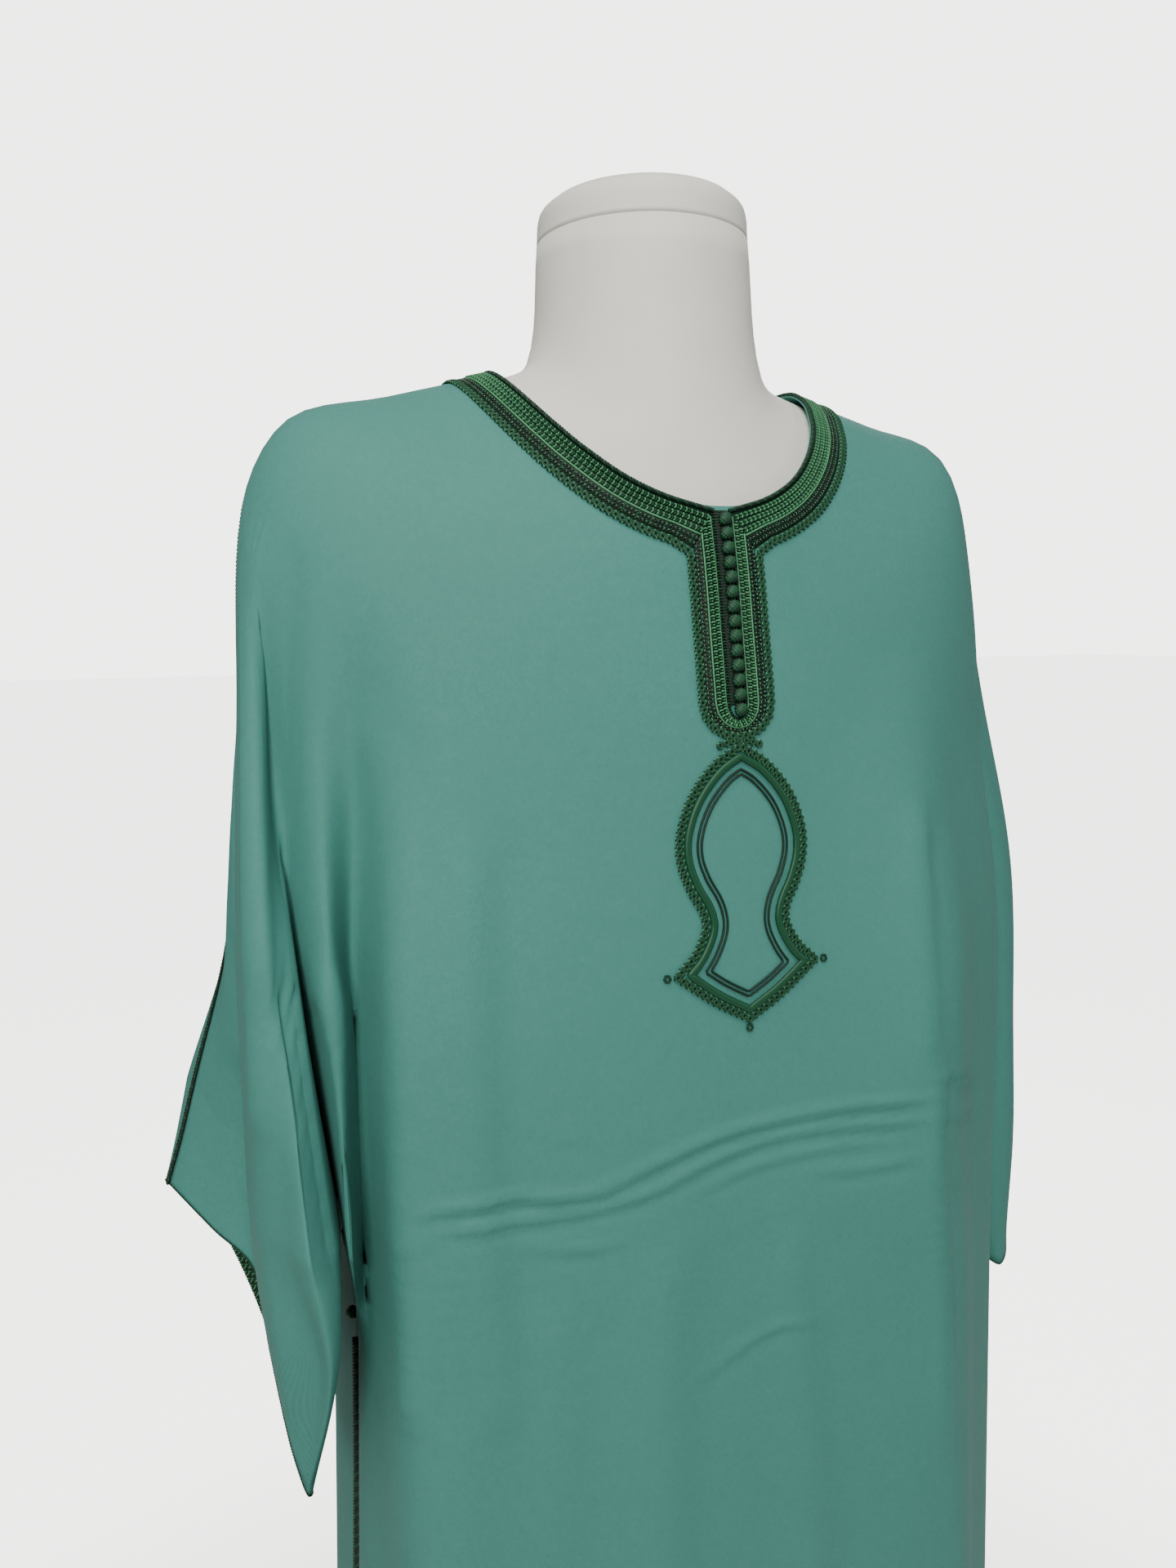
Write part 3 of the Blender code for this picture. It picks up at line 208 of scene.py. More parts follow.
def ring_place(sign, angle, ring):
    """Point of an unfolded ring, as x, y and drop."""
    _, width, front, back, side_drop, front_drop, back_drop, roundness = ring
    along = abs(math.cos(math.radians(angle)))
    across = abs(math.sin(math.radians(angle)))
    reach, end_drop = (-front, front_drop) if angle > 0 else (back, back_drop)
    return np.array([sign * width * along ** (2 / roundness),
                     reach * across ** (2 / roundness),
                     side_drop + (end_drop - side_drop) * across ** DROP_POWER])


def upper_levels(sign, fold, narrowing):
    """Points of a fold line on the six rings, narrowed on its side, and at the armpit."""
    _, angle, chest_share, rib_share, armpit = fold[:5]
    levels = [ring_place(sign, angle, (ring[0], ring[1] - less) + ring[2:])
              for ring, less in zip(RINGS, narrowing)]
    armpit = np.array([sign * armpit[0], armpit[1], armpit[2]])
    shift = armpit - levels[-1]
    shift[2] = 0
    levels[-2] = levels[-2] + chest_share * shift
    levels[-1] = levels[-1] + rib_share * shift
    return levels + [armpit]


def chain(*runs):
    """One closed ring as (name, next name, panel), from runs of fold names and their panel."""
    ring = []
    for names, panel in runs:
        ring += [(name, after, panel) for name, after in zip(names[:-1], names[1:])]
    return ring


class Robe:
    """Outer surface of the robe: points, normals, and faces marked front or back.

    The upper stage is one closed ring of folds from the neckline to the armpits. Below them
    come three more closed rings: the body down to the hem, and each sleeve down to its cuff.
    A point's key is its stage, its row and its place on the ring."""

    def __init__(self, fold_steps, upper_steps, body_steps, sleeve_steps):
        self.fold_steps = fold_steps
        self.armpit_row = sum(upper_steps)
        self.points = []
        self.index = {}
        self.faces = []
        self.panels = []
        self.corner_lengths = []
        self.columns = {}
        for fold in (CENTRE_FRONT, CENTRE_BACK):
            self.add_column(fold, NEAR, fold[0], "body", fold[5:])
        near, far = self.add_side(NEAR), self.add_side(FAR)
        far = {run: names[::-1] for run, names in far.items()}
        self.rings = {
            "upper": chain((near["body_front"], "front"), (near["sleeve_front"], "front"),
                           (near["sleeve_back"], "back"), (near["body_back"], "back"),
                           (far["body_back"], "back"), (far["sleeve_back"], "back"),
                           (far["sleeve_front"], "front"), (far["body_front"], "front")),
            "body": chain((near["body_front"], "front"), (near["body_back"], "back"),
                          (far["body_back"], "back"), (far["body_front"], "front")),
            "near_sleeve": chain((near["sleeve_front"], "front"), (near["sleeve_back"], "back")),
            "far_sleeve": chain((far["sleeve_back"], "back"), (far["sleeve_front"], "front")),
        }
        self.rows = {"upper": upper_steps, "body": body_steps,
                     "near_sleeve": sleeve_steps, "far_sleeve": sleeve_steps}
        for stage in self.rings:
            self.lay_ring(stage)
        self.points = np.array(self.points)
        self.points[:, 2] = NECK_HEIGHT - self.points[:, 2]
        self.faces = np.array(self.faces)
        self.panels = np.array(self.panels)
        self.normals = self.point_normals()
        self.parting = {}
        levels = (0, body_steps[0], sum(body_steps))
        for row in range(1, levels[-1] + 1):
            level = np.interp(row, levels, COARSE_BODY)
            part = np.interp(level, range(SLIT_ROWS[0], SLIT_ROWS[1] + 1), SLIT_PARTING)
            for word in ("near", "far"):
                self.parting[self.index["body", row, word + "_g", 0]] = part

    def add_column(self, fold, side, name, stage, lower):
        sign = side["sign"]
        upper = upper_levels(sign, fold, side["narrowing"])
        self.columns["upper", name] = upper
        self.columns[stage, name] = upper[-1:] + [np.array([sign * x, y, drop])
                                                  for x, y, drop in lower]

    def add_side(self, side):
        """Lay the fold columns of one side, and give their names in four runs."""
        word = side["word"]
        body, sleeve = "body", word + "_sleeve"
        for run, stage in (("body_front", body), ("body_back", body),
                           ("sleeve_front", sleeve), ("sleeve_back", sleeve)):
            for fold in side[run]:
                self.add_column(fold, side, word + fold[0], stage, fold[5:])
        arm = side["overarm"]
        self.add_column(arm, side, word + arm[0], sleeve, arm[5:])
        seams = []
        for fold, split in ((side["underarm"], -UNDERARM_SPLIT),
                            (side["underarm_back"], UNDERARM_SPLIT)):
            name = word + fold[0]
            self.add_column(fold, side, name, body, side["side_seam"])
            self.add_column(fold, side, name, sleeve, side["sleeve_seam"])
            self.columns["upper", name][-1] = self.columns["upper", name][-1] + (0, split, 0)
            seams.append(name)
        names = {run: [word + fold[0] for fold in side[run]]
                 for run in ("body_front", "sleeve_front", "sleeve_back", "body_back")}
        return {"body_front": [CENTRE_FRONT[0]] + names["body_front"] + seams[:1],
                "sleeve_front": seams[:1] + names["sleeve_front"] + [word + arm[0]],
                "sleeve_back": [word + arm[0]] + names["sleeve_back"] + seams[1:],
                "body_back": seams[1:] + names["body_back"] + [CENTRE_BACK[0]]}

    def key(self, stage, row, place, step):
        """Key of a grid point: step counts from the fold that opens this place of the ring."""
        start, stop, _ = place
        if stage != "upper" and row == 0:
            stage, row = "upper", self.armpit_row
        if 0 < step < self.fold_steps:
            return stage, row, start, step
        name = stop if step else start
        below_armpit = stage != "upper"
        if below_armpit and name.endswith("_h"):
            name = name[:-1] + "g"
        return stage, row, name, 0

    def lay_ring(self, stage):
        """Lay the rows of one ring and the faces between them."""
        ring, steps = self.rings[stage], self.rows[stage]
        names = [start for start, _, _ in ring]
        rows = smooth_through(np.array([self.columns[stage, name] for name in names]), steps)
        sharpness = np.ones(rows.shape[1])
        if stage == "upper":
            levels = np.concatenate([[0], np.cumsum(steps)])
            sharpness = np.interp(np.arange(rows.shape[1]), levels, SEAM_SHARPNESS)
        is_seam = np.array([name[-2:] in ("_g", "_h") for name in names], float)
        grid = smooth_through(rows.transpose(1, 0, 2), [self.fold_steps] * len(ring),
                              closed=True, sharp=sharpness[:, None] * is_seam)
        lengths = self.flat_lengths(stage, grid)
        for i, place in enumerate(ring):
            for row in range(grid.shape[0]):
                for step in range(self.fold_steps + 1):
                    key = self.key(stage, row, place, step)
                    if key not in self.index:
                        self.index[key] = len(self.points)
                        self.points.append(grid[row, (i * self.fold_steps + step) % grid.shape[1]])
            for row in range(grid.shape[0] - 1):
                for step in range(self.fold_steps):
                    k = i * self.fold_steps + step
                    corners = ((row, step), (row, step + 1), (row + 1, step + 1), (row + 1, step))
                    self.faces.append([self.index[self.key(stage, r, place, s)]
                                       for r, s in corners])
                    self.panels.append(place[2])
                    self.corner_lengths.append(lengths[[row, row, row + 1, row + 1],
                                                       [k, k + 1, k + 1, k]])

    def flat_lengths(self, stage, grid):
        """Length round each row from the middle of the front, and length down each column."""
        loop = np.concatenate([grid, grid[:, :1]], axis=1)
        around = np.zeros(loop.shape[:2])
        around[:, 1:] = np.cumsum(np.linalg.norm(np.diff(loop, axis=1), axis=2), axis=1)
        down = np.zeros(loop.shape[:2])
        down[1:] = np.cumsum(np.linalg.norm(np.diff(loop, axis=0), axis=2), axis=0)
        if stage in ("upper", "body"):
            names = [place[0] for place in self.rings[stage]]
            half = names.index(CENTRE_BACK[0]) * self.fold_steps
            around[:, half:] -= around[:, -1:]
        else:
            around -= around[:, :1] if stage.startswith("near") else around[:, -1:]
            around += UNDERARM_LENGTH * (1 if stage.startswith("near") else -1)
        if stage != "upper":
            down += ARMPIT_LENGTH
        return np.stack([around, down], axis=2)

    def point_normals(self):
        corners = self.points[self.faces]
        face_normals = np.cross(corners[:, 2] - corners[:, 0], corners[:, 3] - corners[:, 1])
        normals = np.zeros_like(self.points)
        for corner in range(4):
            np.add.at(normals, self.faces[:, corner], face_normals)
        return unit(normals)

    def panel(self, name):
        """Faces and outer points of one panel, drawn back from its seams with the other."""
        faces = self.faces[self.panels == name]
        others = set(self.faces[self.panels != name].ravel())
        points = self.points.copy()
        seam = {i for i in faces.ravel() if i in others}
        along = {i: np.zeros(3) for i in seam}
        inward = {i: np.zeros(3) for i in seam}
        for face in faces:
            for a, b in zip(face, np.roll(face, -1)):
                for here, there in ((a, b), (b, a)):
                    if here in seam:
                        step = self.points[there] - self.points[here]
                        if there in seam:
                            along[here] += step * np.sign(step[2])
                        else:
                            inward[here] += step
        for i in seam:
            across = np.cross(self.normals[i], unit(along[i]))
            shift = SEAM_SHIFT + self.parting.get(i, 0)
            points[i] += shift * unit(across) * np.sign(across @ inward[i])
        return faces, points


def along(line, distance):
    """Point at a distance from the start of a line of points."""
    run = np.concatenate([[0], np.cumsum(np.linalg.norm(np.diff(line, axis=0), axis=1))])
    return np.array([np.interp(distance, run, values) for values in line.T])


def split_faces(faces):
    """Each four-sided face as two triangles."""
    return [three for a, b, c, d in faces.tolist() for three in ((a, b, c), (a, c, d))]


class Chest:
    """The front of the robe as a surface that trims are pressed on, by width and drop."""

    def __init__(self, faces, outer):
        self.tree = BVHTree.FromPolygons([Vector(p) for p in outer], split_faces(faces))

    def press(self, x, drop, lift):
        start = Vector((x, -1.0, NECK_HEIGHT - drop))
        place, normal, _, _ = self.tree.ray_cast(start, Vector((0, 1, 0)))
        return np.array(place + normal * lift)


# Neck braid and placket, measured across from the neck edge or the middle of the slit
BRAID_WIDTH = 0.0200
PICOT_WIDTH = 0.0036
SLIT_HALF = 0.0040         # the buttons' gap between the two placket bands
PLACKET_WIDTH = 0.0136
PLACKET_TOP = 0.0880       # drop of the notch
PLACKET_SIDE = 0.1860      # drop at which the placket starts to round
PLACKET_FOOT = (0.0053, 0.62)  # reach of the rounding down at the middle, and for each metre out
MITRE = 1.45               # drop for each metre out along the mitre at the notch
BUTTON_COUNT = 14
BUTTON_SIZE = 0.0072
BUTTON_PITCH = 0.0074
BUTTON_DEPTH = 0.82        # share of the size, front to back
BUTTON_SEAT = 0.42         # height of its middle, as a share of the size
BUTTON_FIRST = 0.0895
STRIP_HEIGHT = 0.0006


def placket_line(out):
    """Line down, round the foot and up the placket at one distance out, as (x, drop)."""
    top = PLACKET_TOP + MITRE * (out - SLIT_HALF) + GAP
    foot = PLACKET_FOOT[0] + PLACKET_FOOT[1] * out
    down = [(-out, drop) for drop in np.linspace(top, PLACKET_SIDE, 9)[:-1]]
    turns = np.linspace(math.pi, 0, 9)
    bend = [(out * math.cos(turn), PLACKET_SIDE + foot * math.sin(turn)) for turn in turns]
    return down + bend + [(-x, drop) for x, drop in reversed(down)]


# Motif under the placket: half width at each drop, down one side
MOTIF = (                  # half width, drop
    (0.0000, 0.2130), (0.0120, 0.2205), (0.0240, 0.2345), (0.0307, 0.2510), (0.0312, 0.2640),
    (0.0270, 0.2770), (0.0205, 0.2890), (0.0188, 0.2985), (0.0225, 0.3085), (0.0280, 0.3165),
    (0.0335, 0.3215), (0.0170, 0.3335), (0.0000, 0.3430),
)
MOTIF_CORNERS = (0, 10, 12)
MOTIF_STEPS = 8            # outline points for each row of the table
KNOTTED_CORNERS = {"near": 10, "foot": 12, "far": 14}
CORD_WIDTH = 0.0040
LINE_INSET = 0.0075
KNOT_RADIUS = 0.0024
MITRE_LIMIT = 0.55         # least cosine used to move a corner out
KEPT_SHARE = 0.93          # share of its distance that a kept point has from the outline


def motif_outline(grow):
    """Closed outline of the motif as (x, drop), moved outward by grow."""
    half = np.array(MOTIF)
    loop = np.concatenate([half, (half * (-1, 1))[-2:0:-1]])
    corners = np.zeros(len(loop))
    for i in MOTIF_CORNERS:
        corners[[i, -i % len(loop)]] = 1
    fine = smooth_through(loop, [MOTIF_STEPS] * len(loop), closed=True, sharp=corners)
    before, after = fine - np.roll(fine, 1, axis=0), np.roll(fine, -1, axis=0) - fine
    normal = unit(unit(before) + unit(after))
    normal = np.stack([normal[:, 1], -normal[:, 0]], axis=1)
    half_angle = np.sum(unit(before) * unit(unit(before) + unit(after)), axis=1)
    return fine + normal * (grow / np.maximum(half_angle, MITRE_LIMIT))[:, None]


def clear_of_outline(grow):
    """Which points of the moved outline didn't fold over at a corner."""
    line, base = motif_outline(grow), motif_outline(0)
    edges = np.roll(base, -1, axis=0) - base
    nearest = []
    for point in line:
        share = np.clip(np.sum((point - base) * edges, axis=1) / np.sum(edges**2, axis=1), 0, 1)
        nearest.append(np.linalg.norm(base + edges * share[:, None] - point, axis=1).min())
    return np.array(nearest) > KEPT_SHARE * abs(grow)


def column(robe, place, step, stages):
    """Point numbers down one grid column through the named stages."""
    numbers = []
    for stage in stages:
        rows = sum(robe.rows[stage]) + 1
        first = 0 if stage == "upper" else 1
        numbers += [robe.index[robe.key(stage, row, place, step)] for row in range(first, rows)]
    return numbers


def at_distance(robe, numbers, distance):
    """Point and normal at a distance down a column of grid points."""
    points = robe.points[numbers]
    run = np.concatenate([[0], np.cumsum(np.linalg.norm(np.diff(points, axis=0), axis=1))])
    normal = [np.interp(distance, run, values) for values in robe.normals[numbers].T]
    return along(points, distance), unit(np.array(normal))


# Cords over the seams and braids inside the cuffs
OVERARM_WIDTH = 0.0034
OVERARM_CLEARANCE = 0.002  # from the edging of the neck braid
OVERARM_FLATTENING = 0.35
SIDE_CORD_RADIUS = 0.0009
SLIT_CORD_INSET = 0.0020   # middle of the cord from the edge of the slit
SLIT_KNOT_RADIUS = 0.0034
SLIT_KNOT_DEPTH = 0.92     # share of its width, out from the seam
ROWS_ABOVE_SLIT = 3        # fine rows left free between the side cord and the slit
CUFF_BRAID_LIFT = 0.0008
CUFF_EDGE = 0.0009         # middle of the thin rope round each cuff, from its end


def beside_seam(robe, word, row, radius):
    """Middle of a round thing that rests on both panels at the side seam, and the way out."""
    if row:
        seam = robe.index["body", row, word + "_g", 0]
    else:
        seam = robe.index["upper", robe.armpit_row, word + "_g", 0]
    point, normal = robe.points[seam], robe.normals[seam]
    arms = []
    for place in robe.rings["body"]:
        if place[0][:-1] + "g" == word + "_g" and place[0][-1] in "gh":
            step = 1
        elif place[1][:-1] + "g" == word + "_g" and place[1][-1] in "gh":
            step = FOLD_STEPS - 1
        else:
            continue
        beside = robe.index[robe.key("body", row, place, step)]
        arms.append(unit(robe.points[beside] - point))
    half_angle = math.acos(np.clip(arms[0] @ arms[1], -1, 1)) / 2
    is_valley = (arms[0] + arms[1]) @ normal > 0
    reach = radius / math.sin(half_angle) if is_valley else radius
    return point + normal * (reach + TRIM_LIFT), normal


# Dress form: half width and reach to the front and back at a drop at the side, the front and
# the back, down to its flat foot
FORM_RINGS = (
    # name          width  front  back   side    front   back  (drops)
    ("cap",         0.052, 0.054, 0.052, -0.0880, -0.0880, -0.0880, 2.0),
    ("cap edge",    0.0585, 0.060, 0.058, -0.0820, -0.0820, -0.0820, 2.0),
    ("neck",        0.0602, 0.062, 0.0595, -0.0660, -0.0660, -0.0660, 2.0),
    ("neck foot",   0.0680, 0.072, 0.060, 0.0000, 0.0260, -0.0120, 2.0),
    ("collar",      0.0930, 0.088, 0.066, 0.0125, 0.0800, 0.0040, 2.0),
    ("yoke",        0.1490, 0.098, 0.084, 0.0260, 0.1240, 0.0340, 2.0),
    ("shoulder",    0.1900, 0.101, 0.092, 0.0430, 0.1600, 0.0760, 2.0),
    ("shoulder end", 0.1990, 0.102, 0.094, 0.0900, 0.2000, 0.1300, 2.0),
    ("side",        0.1960, 0.104, 0.094, 0.1700, 0.2500, 0.2100, 2.0),
    ("waist",       0.1600, 0.100, 0.086, 0.3900, 0.3900, 0.3900, 2.0),
    ("hip",         0.1700, 0.104, 0.096, 0.5800, 0.5800, 0.5800, 2.0),
    ("foot edge",   0.1620, 0.100, 0.092, 0.6850, 0.6850, 0.6850, 2.0),
    ("foot",        0.1520, 0.090, 0.084, 0.6950, 0.6950, 0.6950, 2.0),
)
FORM_STEPS = (4, 6, 6, 6, 8, 8, 8, 8, 8, 8, 8, 3)
FORM_SIDES = 112
FORM_TOP = NECK_HEIGHT + 0.0017  # seats the shoulders of the robe on the form
CAP_RINGS = 2
POLE_RADIUS = 0.0150
POLE_SIDES = 48
BASE_RADIUS = 0.165
BASE_HEIGHT = 0.016
EDGE_ROUND = 0.004         # edges of the base
POLE_ROUND = 0.0008        # ends of the pole
BASE_SIDES = 128


def form_surface():
    """Rings of points down the dress form, from the cap to the foot."""
    turns = np.linspace(0, 2 * math.pi, FORM_SIDES, endpoint=False)
    lines = []
    for turn in turns:
        angle = math.degrees(math.asin(round(math.sin(turn), 12)))
        sign = -1 if math.cos(turn) < 0 else 1
        lines.append([ring_place(sign, angle, ring) for ring in FORM_RINGS])
    rings = smooth_through(np.array(lines), FORM_STEPS).transpose(1, 0, 2)
    rings[..., 2] = FORM_TOP - rings[..., 2]
    return rings


# Creases and soft folds of the front: height, width, and (place out from the middle, drop)
# along each line
CREASES = (
    (0.0024, 0.0026, ((-0.180, 0.425), (-0.140, 0.421), (-0.090, 0.425), (-0.060, 0.416),
                      (-0.020, 0.407), (0.040, 0.404), (0.115, 0.408))),
    (0.0021, 0.0025, ((-0.170, 0.432), (-0.110, 0.434), (-0.060, 0.429), (-0.020, 0.418),
                      (0.025, 0.413), (0.110, 0.420))),
    (0.0012, 0.0024, ((-0.035, 0.435), (0.000, 0.427), (0.050, 0.425), (0.090, 0.430))),
    (0.0013, 0.0025, ((0.030, 0.434), (0.060, 0.440), (0.110, 0.441))),
    (0.0012, 0.0028, ((-0.130, 0.445), (-0.095, 0.453), (-0.070, 0.451))),
    (0.0012, 0.0028, ((-0.185, 0.452), (-0.165, 0.430))),
    (0.0010, 0.0026, ((-0.110, 0.385), (-0.085, 0.408))),
    (0.0010, 0.0026, ((-0.060, 0.396), (-0.035, 0.385))),
    (0.0011, 0.0030, ((-0.040, 0.540), (-0.005, 0.523), (0.020, 0.517), (0.045, 0.527))),
    (0.0017, 0.0027, ((0.110, 0.390), (0.140, 0.404), (0.200, 0.436))),
    (0.0013, 0.0026, ((0.115, 0.417), (0.140, 0.428), (0.200, 0.455))),
    (0.0010, 0.0030, ((0.120, 0.455), (0.150, 0.470), (0.185, 0.482))),
    (0.0030, 0.0085, ((-0.180, 0.175), (-0.175, 0.240), (-0.180, 0.350), (-0.180, 0.550))),
    (0.0024, 0.0095, ((-0.140, 0.240), (-0.145, 0.400), (-0.135, 0.555))),
    (0.0026, 0.0110, ((0.110, 0.235), (0.105, 0.295), (0.110, 0.390), (0.125, 0.540),
                      (0.135, 0.635))),
    (0.0028, 0.0044, ((0.112, 0.240), (0.110, 0.300), (0.116, 0.400), (0.130, 0.540),
                      (0.140, 0.680))),
    (-0.0050, 0.0150, ((-0.235, 0.300), (-0.220, 0.360), (-0.215, 0.410), (-0.210, 0.470))),
    (0.0024, 0.0095, ((-0.210, 0.300), (-0.200, 0.360), (-0.190, 0.480))),
    (0.0034, 0.0070, ((-0.222, 0.090), (-0.230, 0.180), (-0.238, 0.290), (-0.242, 0.400))),
    (0.0022, 0.0140, ((-0.050, 0.450), (-0.060, 0.720), (-0.065, 0.900))),
    (0.0020, 0.0120, ((0.020, 0.460), (0.040, 0.700), (0.045, 0.860))),
    (0.0018, 0.0130, ((-0.110, 0.470), (-0.115, 0.760))),
)
CREASE_STEPS = 12          # spots of the curve for each stated point
CREASE_STEP = 0.003        # between the spots that a crease is measured from
CREASE_REACH = 5           # widths, beyond which a crease lifts nothing
CREASE_FADE = 0.02         # length over which each end fades, with its width
SHADED_SIDE = (0.35, 1.0)  # the side of a crease that has its hollow
HOLLOW_OFFSET = 1.9        # from the crease, in its widths
HOLLOW_WIDTH = 1.2
HOLLOW_SHARE = 0.5         # depth of the hollow, as a share of the crease
CREASED_DEPTH = 0.02       # creases lie only on points in front of this
CREASED_FACING = (0.05, 0.35)  # forward part of the normal where they start, and how much more
                               # of it brings them to their full height
SHELL = 0.0008             # thickness of the shown cloth

TEAL = (0.057, 0.214, 0.183, 1)
DEEP_TEAL = (0.043, 0.174, 0.149, 1)
SHADE_TEAL = (0.014, 0.080, 0.070, 1)
PALE_TEAL = (0.105, 0.295, 0.255, 1)


class Look:
    """Node tree of one material, with short calls for the nodes used here."""

    def __init__(self, name):
        self.material = bpy.data.materials.new(name)
        self.material.use_nodes = True
        self.tree = self.material.node_tree
        self.shader = self.tree.nodes["Principled BSDF"]

    def node(self, kind, inputs=(), **settings):
        made = self.tree.nodes.new(kind)
        for key, value in settings.items():
            setattr(made, key, value)
        for key, value in dict(inputs).items():
            if isinstance(value, bpy.types.NodeSocket):
                self.tree.links.new(value, made.inputs[key])
            else:
                made.inputs[key].default_value = value
        return made

    def math(self, operation, a, b=0.0):
        return self.node("ShaderNodeMath", {0: a, 1: b}, operation=operation).outputs[0]

    def mix(self, share, a, b):
        made = self.node("ShaderNodeMix", data_type="RGBA")
        for socket, value in ((made.inputs[0], share), (made.inputs[6], a), (made.inputs[7], b)):
            if isinstance(value, bpy.types.NodeSocket):
                self.tree.links.new(value, socket)
            else:
                socket.default_value = value
        return made.outputs[2]

    def noise(self, where, scale, detail=3.0):
        return self.node("ShaderNodeTexNoise", {"Vector": where, "Scale": scale,
                                                "Detail": detail}).outputs["Fac"]

    def set(self, **values):
        for key, value in values.items():
            socket = self.shader.inputs[key.replace("_", " ")]
            if isinstance(value, bpy.types.NodeSocket):
                self.tree.links.new(value, socket)
            else:
                socket.default_value = value
        return self.material

    def bump(self, height, strength, distance, before=None):
        inputs = {"Height": height, "Strength": strength, "Distance": distance}
        if before is not None:
            inputs["Normal"] = before
        return self.node("ShaderNodeBump", inputs).outputs[0]

    def place(self):
        return self.node("ShaderNodeTexCoord").outputs["Object"]


def stripes(look, direction, pitch):
    """Wave from 0 to 1 over the flat cloth, across a direction."""
    where = look.node("ShaderNodeUVMap", uv_map="flat").outputs[0]
    along_it = look.node("ShaderNodeVectorMath", {0: where, 1: (*direction, 0)},
                         operation="DOT_PRODUCT").outputs["Value"]
    wave = look.math("SINE", look.math("MULTIPLY", along_it, 2 * math.pi / pitch))
    return look.math("MULTIPLY_ADD", wave, 0.5)


TWILL_PITCH = 0.00105
TWILL_WAY = (0.72, 0.69)       # across the ribs
PICK_WAY = (0.94, -0.34)       # across the crossing threads
PATCHES = 9.0                  # cells to a metre of each unevenness, from broad to fine
CRINKLES = 38.0
GRAININESS = 150.0
FUZZ = 420.0


def cloth_look():
    """Diagonal twill with a soft sheen and slight unevenness."""
    look = Look("twill")
    where = look.place()
    ribs = stripes(look, TWILL_WAY, TWILL_PITCH)
    picks = stripes(look, PICK_WAY, TWILL_PITCH * 0.8)
    broad = look.noise(where, PATCHES)
    fine = look.noise(where, FUZZ, 2.0)
    grainy = look.noise(where, GRAININESS, 2.0)
    shade = look.mix(look.math("MULTIPLY", broad, 0.5), TEAL, DEEP_TEAL)
    shade = look.mix(look.math("MULTIPLY", ribs, 0.24), shade, SHADE_TEAL)
    shade = look.mix(look.math("MULTIPLY", fine, 0.34), shade, PALE_TEAL)
    shade = look.mix(look.math("MULTIPLY", grainy, 0.42), shade, DEEP_TEAL)
    height = look.math("ADD", ribs, look.math("MULTIPLY", picks, 0.35))
    normal = look.bump(height, 0.16, 0.0003)
    normal = look.bump(look.noise(where, CRINKLES, 4.0), 0.12, 0.0035, normal)
    return look.set(Base_Color=shade, Normal=normal, Roughness=0.66, Sheen_Weight=0.02,
                    Sheen_Roughness=0.42, Sheen_Tint=(0.70, 0.90, 0.86, 1), Specular_IOR_Level=0.14)


THREADS = (
    # name           colour                     lighter                    roughness
    ("dark_thread", (0.003, 0.015, 0.008, 1), (0.005, 0.028, 0.014, 1), 0.56),
    ("green_thread", (0.004, 0.040, 0.016, 1), (0.010, 0.074, 0.032, 1), 0.52),
    ("light_thread", (0.042, 0.190, 0.080, 1), (0.110, 0.340, 0.165, 1), 0.48),
    ("pale_thread", (0.10, 0.22, 0.13, 1), (0.22, 0.37, 0.25, 1), 0.48),
)


def thread_look(name, colour, light, roughness):
    """Silky twisted thread."""
    look = Look(name)
    where = look.place()
    fibre = look.noise(where, 900.0, 2.0)
    shade = look.mix(look.math("MULTIPLY", look.noise(where, 160.0), 0.8), colour, light)
    return look.set(Base_Color=shade, Normal=look.bump(fibre, 0.3, 0.0003), Roughness=roughness,
                    Specular_IOR_Level=0.30)


def satin_look():
    """Smooth cord wound with silk."""
    look = Look("satin_cord")
    wound = stripes(look, (1.0, 0.45), 0.0009)
    shade = look.mix(look.math("MULTIPLY", wound, 0.5), (0.005, 0.062, 0.026, 1),
                     (0.003, 0.036, 0.015, 1))
    return look.set(Base_Color=shade, Normal=look.bump(wound, 0.15, 0.0002), Roughness=0.40,
                    Specular_IOR_Level=0.30)


def plaster_look():
    """Pale matt shell of the dress form, faintly mottled."""
    look = Look("form_shell")
    where = look.place()
    shade = look.mix(look.noise(where, 24.0, 5.0), (0.60, 0.58, 0.54, 1), (0.74, 0.72, 0.67, 1))
    return look.set(Base_Color=shade, Normal=look.bump(look.noise(where, 190.0), 0.12, 0.001),
                    Roughness=0.66)


def metal_look():
    """Satin powder coat of the pole and base."""
    look = Look("stand_metal")
    where = look.place()
    shade = look.mix(look.noise(where, 60.0), (0.42, 0.42, 0.43, 1), (0.52, 0.52, 0.53, 1))
    return look.set(Base_Color=shade, Normal=look.bump(look.noise(where, 1400.0), 0.08, 0.0002),
                    Roughness=0.42, Metallic=0.25)


def floor_look():
    """Pale floor that glows for the camera away from the base, and lights nothing. The glow fades out
    towards the pole, which paints shade on the floor round the base.
    """
    look = Look("pale_floor")
    shade = look.mix(look.noise(look.place(), 3.0), (0.74, 0.74, 0.72, 1), (0.77, 0.77, 0.75, 1))
    seen = look.node("ShaderNodeLightPath").outputs["Is Camera Ray"]
    out = look.node("ShaderNodeVectorMath", {0: look.place()}, operation="LENGTH").outputs["Value"]
    ends = {"Value": out, "From Min": FLOOR_PAINTED_SHADE_FADE[0], "From Max": FLOOR_PAINTED_SHADE_FADE[1]}
    # painted shade: the camera glow fades out near the pole, so the floor round the base is darker
    glow_outside_painted_shade = look.node("ShaderNodeMapRange", ends, interpolation_type="SMOOTHSTEP").outputs["Result"]
    glow = look.math("MULTIPLY", look.math("MULTIPLY", seen, glow_outside_painted_shade), FLOOR_SHOWN)
    return look.set(Base_Color=shade, Roughness=0.9, Specular_IOR_Level=0.1,
                    Emission_Color=PALE_AIR, Emission_Strength=glow)


